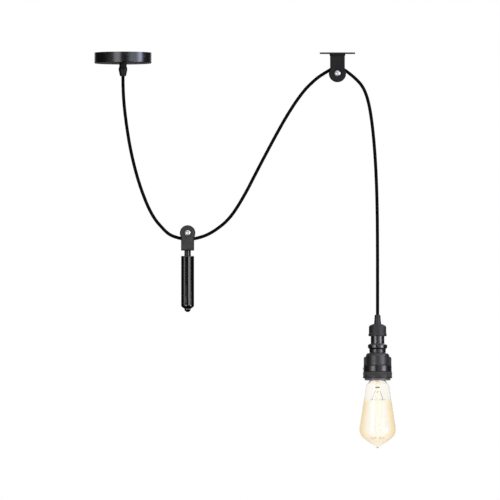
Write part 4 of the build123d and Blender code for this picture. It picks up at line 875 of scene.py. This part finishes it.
grown("ring_knurl", BAR_RING, RING_STEEL, {
    "Count": 100, "Ring Radius": RING_RADIUS, "Bar Radius": 0.55 * MM, "Bar Length": 5.6 * MM,
    "Centre": (LAMP_X, 0.0, KNURL_MIDDLE),
}, "lamp")
coils = grown("filament_coils", COIL_CAGE, FILAMENT, {
    "Count": 2 * CAGE_HOOKS, "Ring Radius": COIL_RING_RADIUS, "Coil Radius": 0.26 * MM,
    "Wire Radius": 0.11 * MM, "Height": COIL_LENGTH, "Turns": 84.0,
    "Lean": asin(COIL_SIDE_STEP / COIL_LENGTH), "Centre": (LAMP_X, 0.0, (CAGE_TOP + CAGE_FOOT) / 2),
}, "bulb")
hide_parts("bulb_filament")
for name, level, start in (("upper_hooks", CAGE_TOP, 0.0), ("lower_hooks", CAGE_FOOT, pi / CAGE_HOOKS)):
    grown(name, HOOK_RING, WIRE_NICKEL, {
        "Count": CAGE_HOOKS, "Ring Radius": CAGE_RADIUS, "Eye Radius": 0.75 * MM, "Wire Radius": 0.2 * MM,
        "Start": start, "Centre": (LAMP_X, 0.0, level),
    }, "bulb")


# Stage: pale floor that is seen only from above, white surround, soft boxes and the camera

# The points that the camera and the soft boxes aim at
AIM = Vector((222.4, 0.0, -345.6)) * MM
CANOPY_AIM = Vector((0.0, 0.0, 240.0)) * MM
WEIGHT_AIM = Vector((113.0, 0.0, -260.0)) * MM
LAMP_AIM = Vector((445.6, 0.0, -820.0)) * MM

# Levels of light, where 1 is white
FLOOR_GLOW = 0.56
ROOM = 0.42
ROOM_IN_GLOSS = 0.02
ROOM_IN_GLOSS_OVERHEAD = 0.35

NEUTRAL, COOL, SLATE, LAVENDER = (1.0, 1.0, 1.0), (0.92, 0.92, 1.0), (0.80, 0.88, 1.0), (0.72, 0.74, 1.0)


def toward(azimuth, elevation):
    """Direction from the object, with 0 at the camera's side and right of it positive."""
    turn, rise = radians(azimuth), radians(elevation)
    return Vector((sin(turn) * cos(rise), -cos(turn) * cos(rise), sin(rise)))


def soft_box(name, azimuth, elevation, distance, width, height, level, colour, aim=AIM):
    """An area light of an even brightness, which gloss shows and the camera and glass don't."""
    lamp = bpy.data.lights.new(name, "AREA")
    lamp.shape = "RECTANGLE"
    lamp.size, lamp.size_y = width, height
    lamp.energy = level * pi * width * height
    lamp.color = colour
    holder = bpy.data.objects.new(name, lamp)
    holder.location = aim + toward(azimuth, elevation) * distance
    holder.rotation_euler = (aim - holder.location).to_track_quat("-Z", "Y").to_euler()
    holder.visible_camera = holder.visible_transmission = False
    SCENE.collection.objects.link(holder)


def flat_card(name, corners, finish):
    mesh = bpy.data.meshes.new(name)
    mesh.from_pydata(corners, [], [(0, 1, 2, 3)])
    mesh.materials.append(finish)
    card = bpy.data.objects.new(name, mesh)
    SCENE.collection.objects.link(card)
    return card


def make_floor():
    """Pale floor that takes the object's shadow, is clear from below and lights nothing."""
    half, level = 3.0, -1.45
    material, tree, shader = new_finish("pale_floor_paint", specular=0.2)
    paint = noise(tree, object_coordinates(tree), 3.0, 3.0)
    tint = blended(tree, paint, grey(0.86), (0.90, 0.90, 0.89))
    tree.links.new(tint, shader.inputs["Base Color"])
    shader.inputs["Roughness"].default_value = 0.7
    shader.inputs["Emission Color"].default_value = (1.0, 1.0, 1.0, 1.0)
    shader.inputs["Emission Strength"].default_value = FLOOR_GLOW
    below = put(tree, "ShaderNodeNewGeometry").outputs["Backfacing"]
    clear = put(tree, "ShaderNodeBsdfTransparent")
    both = put(tree, "ShaderNodeMixShader", None, Fac=below)
    tree.links.new(shader.outputs[0], both.inputs[1])
    tree.links.new(clear.outputs[0], both.inputs[2])
    tree.links.new(both.outputs[0], output_of(tree).inputs["Surface"])
    corners = [(-half, -half, level), (half, -half, level), (half, half, level), (-half, half, level)]
    floor = flat_card("pale_floor", corners, material)
    floor.visible_glossy = floor.visible_diffuse = False


def make_dark_flag():
    """Black card behind the canopy, seen only in gloss, which keeps the canopy's underside dark."""
    half, behind, foot, top = 0.5, 1.0, -0.30, -0.004
    material, _, shader = new_finish("flag_black", specular=0.0)
    shader.inputs["Base Color"].default_value = (*grey(0.002), 1.0)
    shader.inputs["Roughness"].default_value = 1.0
    corners = [(-half, behind, foot), (half, behind, foot), (half, behind, top), (-half, behind, top)]
    card = flat_card("dark_flag", corners, material)
    card.visible_camera = card.visible_diffuse = card.visible_transmission = card.visible_shadow = False


def make_surround():
    """White to the camera, through glass and in gloss from behind the object.

    Elsewhere it is a dim even room, which gloss sees as almost black at the sides and paler overhead.
    """
    world = bpy.data.worlds.new("studio_surround")
    world.use_nodes = True
    tree = world.node_tree
    tree.nodes.clear()
    path = put(tree, "ShaderNodeLightPath").outputs
    way = put(tree, "ShaderNodeTexCoord").outputs["Generated"]
    split = parts_of(tree, way)
    back = ranged(tree, split["Y"], 0.80, 0.97)
    seen = sums(tree, "MAXIMUM", path["Is Camera Ray"], path["Is Transmission Ray"])
    white = sums(tree, "MAXIMUM", seen, sums(tree, "MULTIPLY", path["Is Glossy Ray"], back))
    gloss_room = ranged(tree, split["Z"], 0.25, 0.75, ROOM_IN_GLOSS, ROOM_IN_GLOSS_OVERHEAD)
    change = sums(tree, "SUBTRACT", gloss_room, ROOM)
    room = sums(tree, "MULTIPLY_ADD", path["Is Glossy Ray"], change, ROOM)
    strength = sums(tree, "ADD", white, sums(tree, "MULTIPLY", sums(tree, "SUBTRACT", 1.0, white), room))
    light = put(tree, "ShaderNodeBackground", None, Strength=strength)
    light.inputs["Color"].default_value = (1.0, 1.0, 1.0, 1.0)
    out = put(tree, "ShaderNodeOutputWorld")
    tree.links.new(light.outputs[0], out.inputs["Surface"])
    SCENE.world = world


def make_camera():
    """A long lens from a little below level, whose picture is as wide as the photograph's at the object."""
    lens, sensor, view_width, elevation = 1000.0, 36.0, 0.875, -1.5
    camera = bpy.data.cameras.new("photo_camera")
    camera.sensor_width = sensor
    camera.lens = lens
    holder = bpy.data.objects.new("photo_camera", camera)
    holder.location = AIM + toward(0.0, elevation) * (view_width * lens / sensor)
    holder.rotation_euler = (AIM - holder.location).to_track_quat("-Z", "Y").to_euler()
    SCENE.collection.objects.link(holder)
    SCENE.camera = holder


make_floor()
make_dark_flag()
make_surround()
# Azimuth and elevation in degrees; distance, width and height in metres; level, colour and aim
soft_box("upper_left_box", -23.0, 0.0, 1.8, 0.88, 0.68, 3.7, COOL, CANOPY_AIM)
soft_box("upper_right_box", 43.0, 0.0, 1.8, 1.20, 0.68, 2.0, SLATE, CANOPY_AIM)
soft_box("upper_edge_box", 73.0, 0.0, 1.7, 0.60, 0.68, 8.6, LAVENDER, CANOPY_AIM)
soft_box("middle_left_box", -57.0, 0.0, 1.8, 0.83, 0.32, 1.35, NEUTRAL, WEIGHT_AIM)
soft_box("middle_right_box", 30.5, 0.0, 1.9, 1.34, 0.32, 2.4, NEUTRAL, WEIGHT_AIM)
soft_box("lower_left_box", -37.0, 0.0, 1.8, 0.90, 0.78, 5.0, NEUTRAL, LAMP_AIM)
soft_box("lower_right_box", 54.0, 0.0, 1.8, 1.00, 0.78, 7.0, COOL, LAMP_AIM)
soft_box("top_box", 10.0, 66.0, 2.2, 1.5, 1.5, 1.0, NEUTRAL)
soft_box("back_fill_box", 150.0, 35.0, 2.2, 1.2, 1.2, 1.0, NEUTRAL)
make_camera()
SCENE.view_settings.view_transform = "Standard"
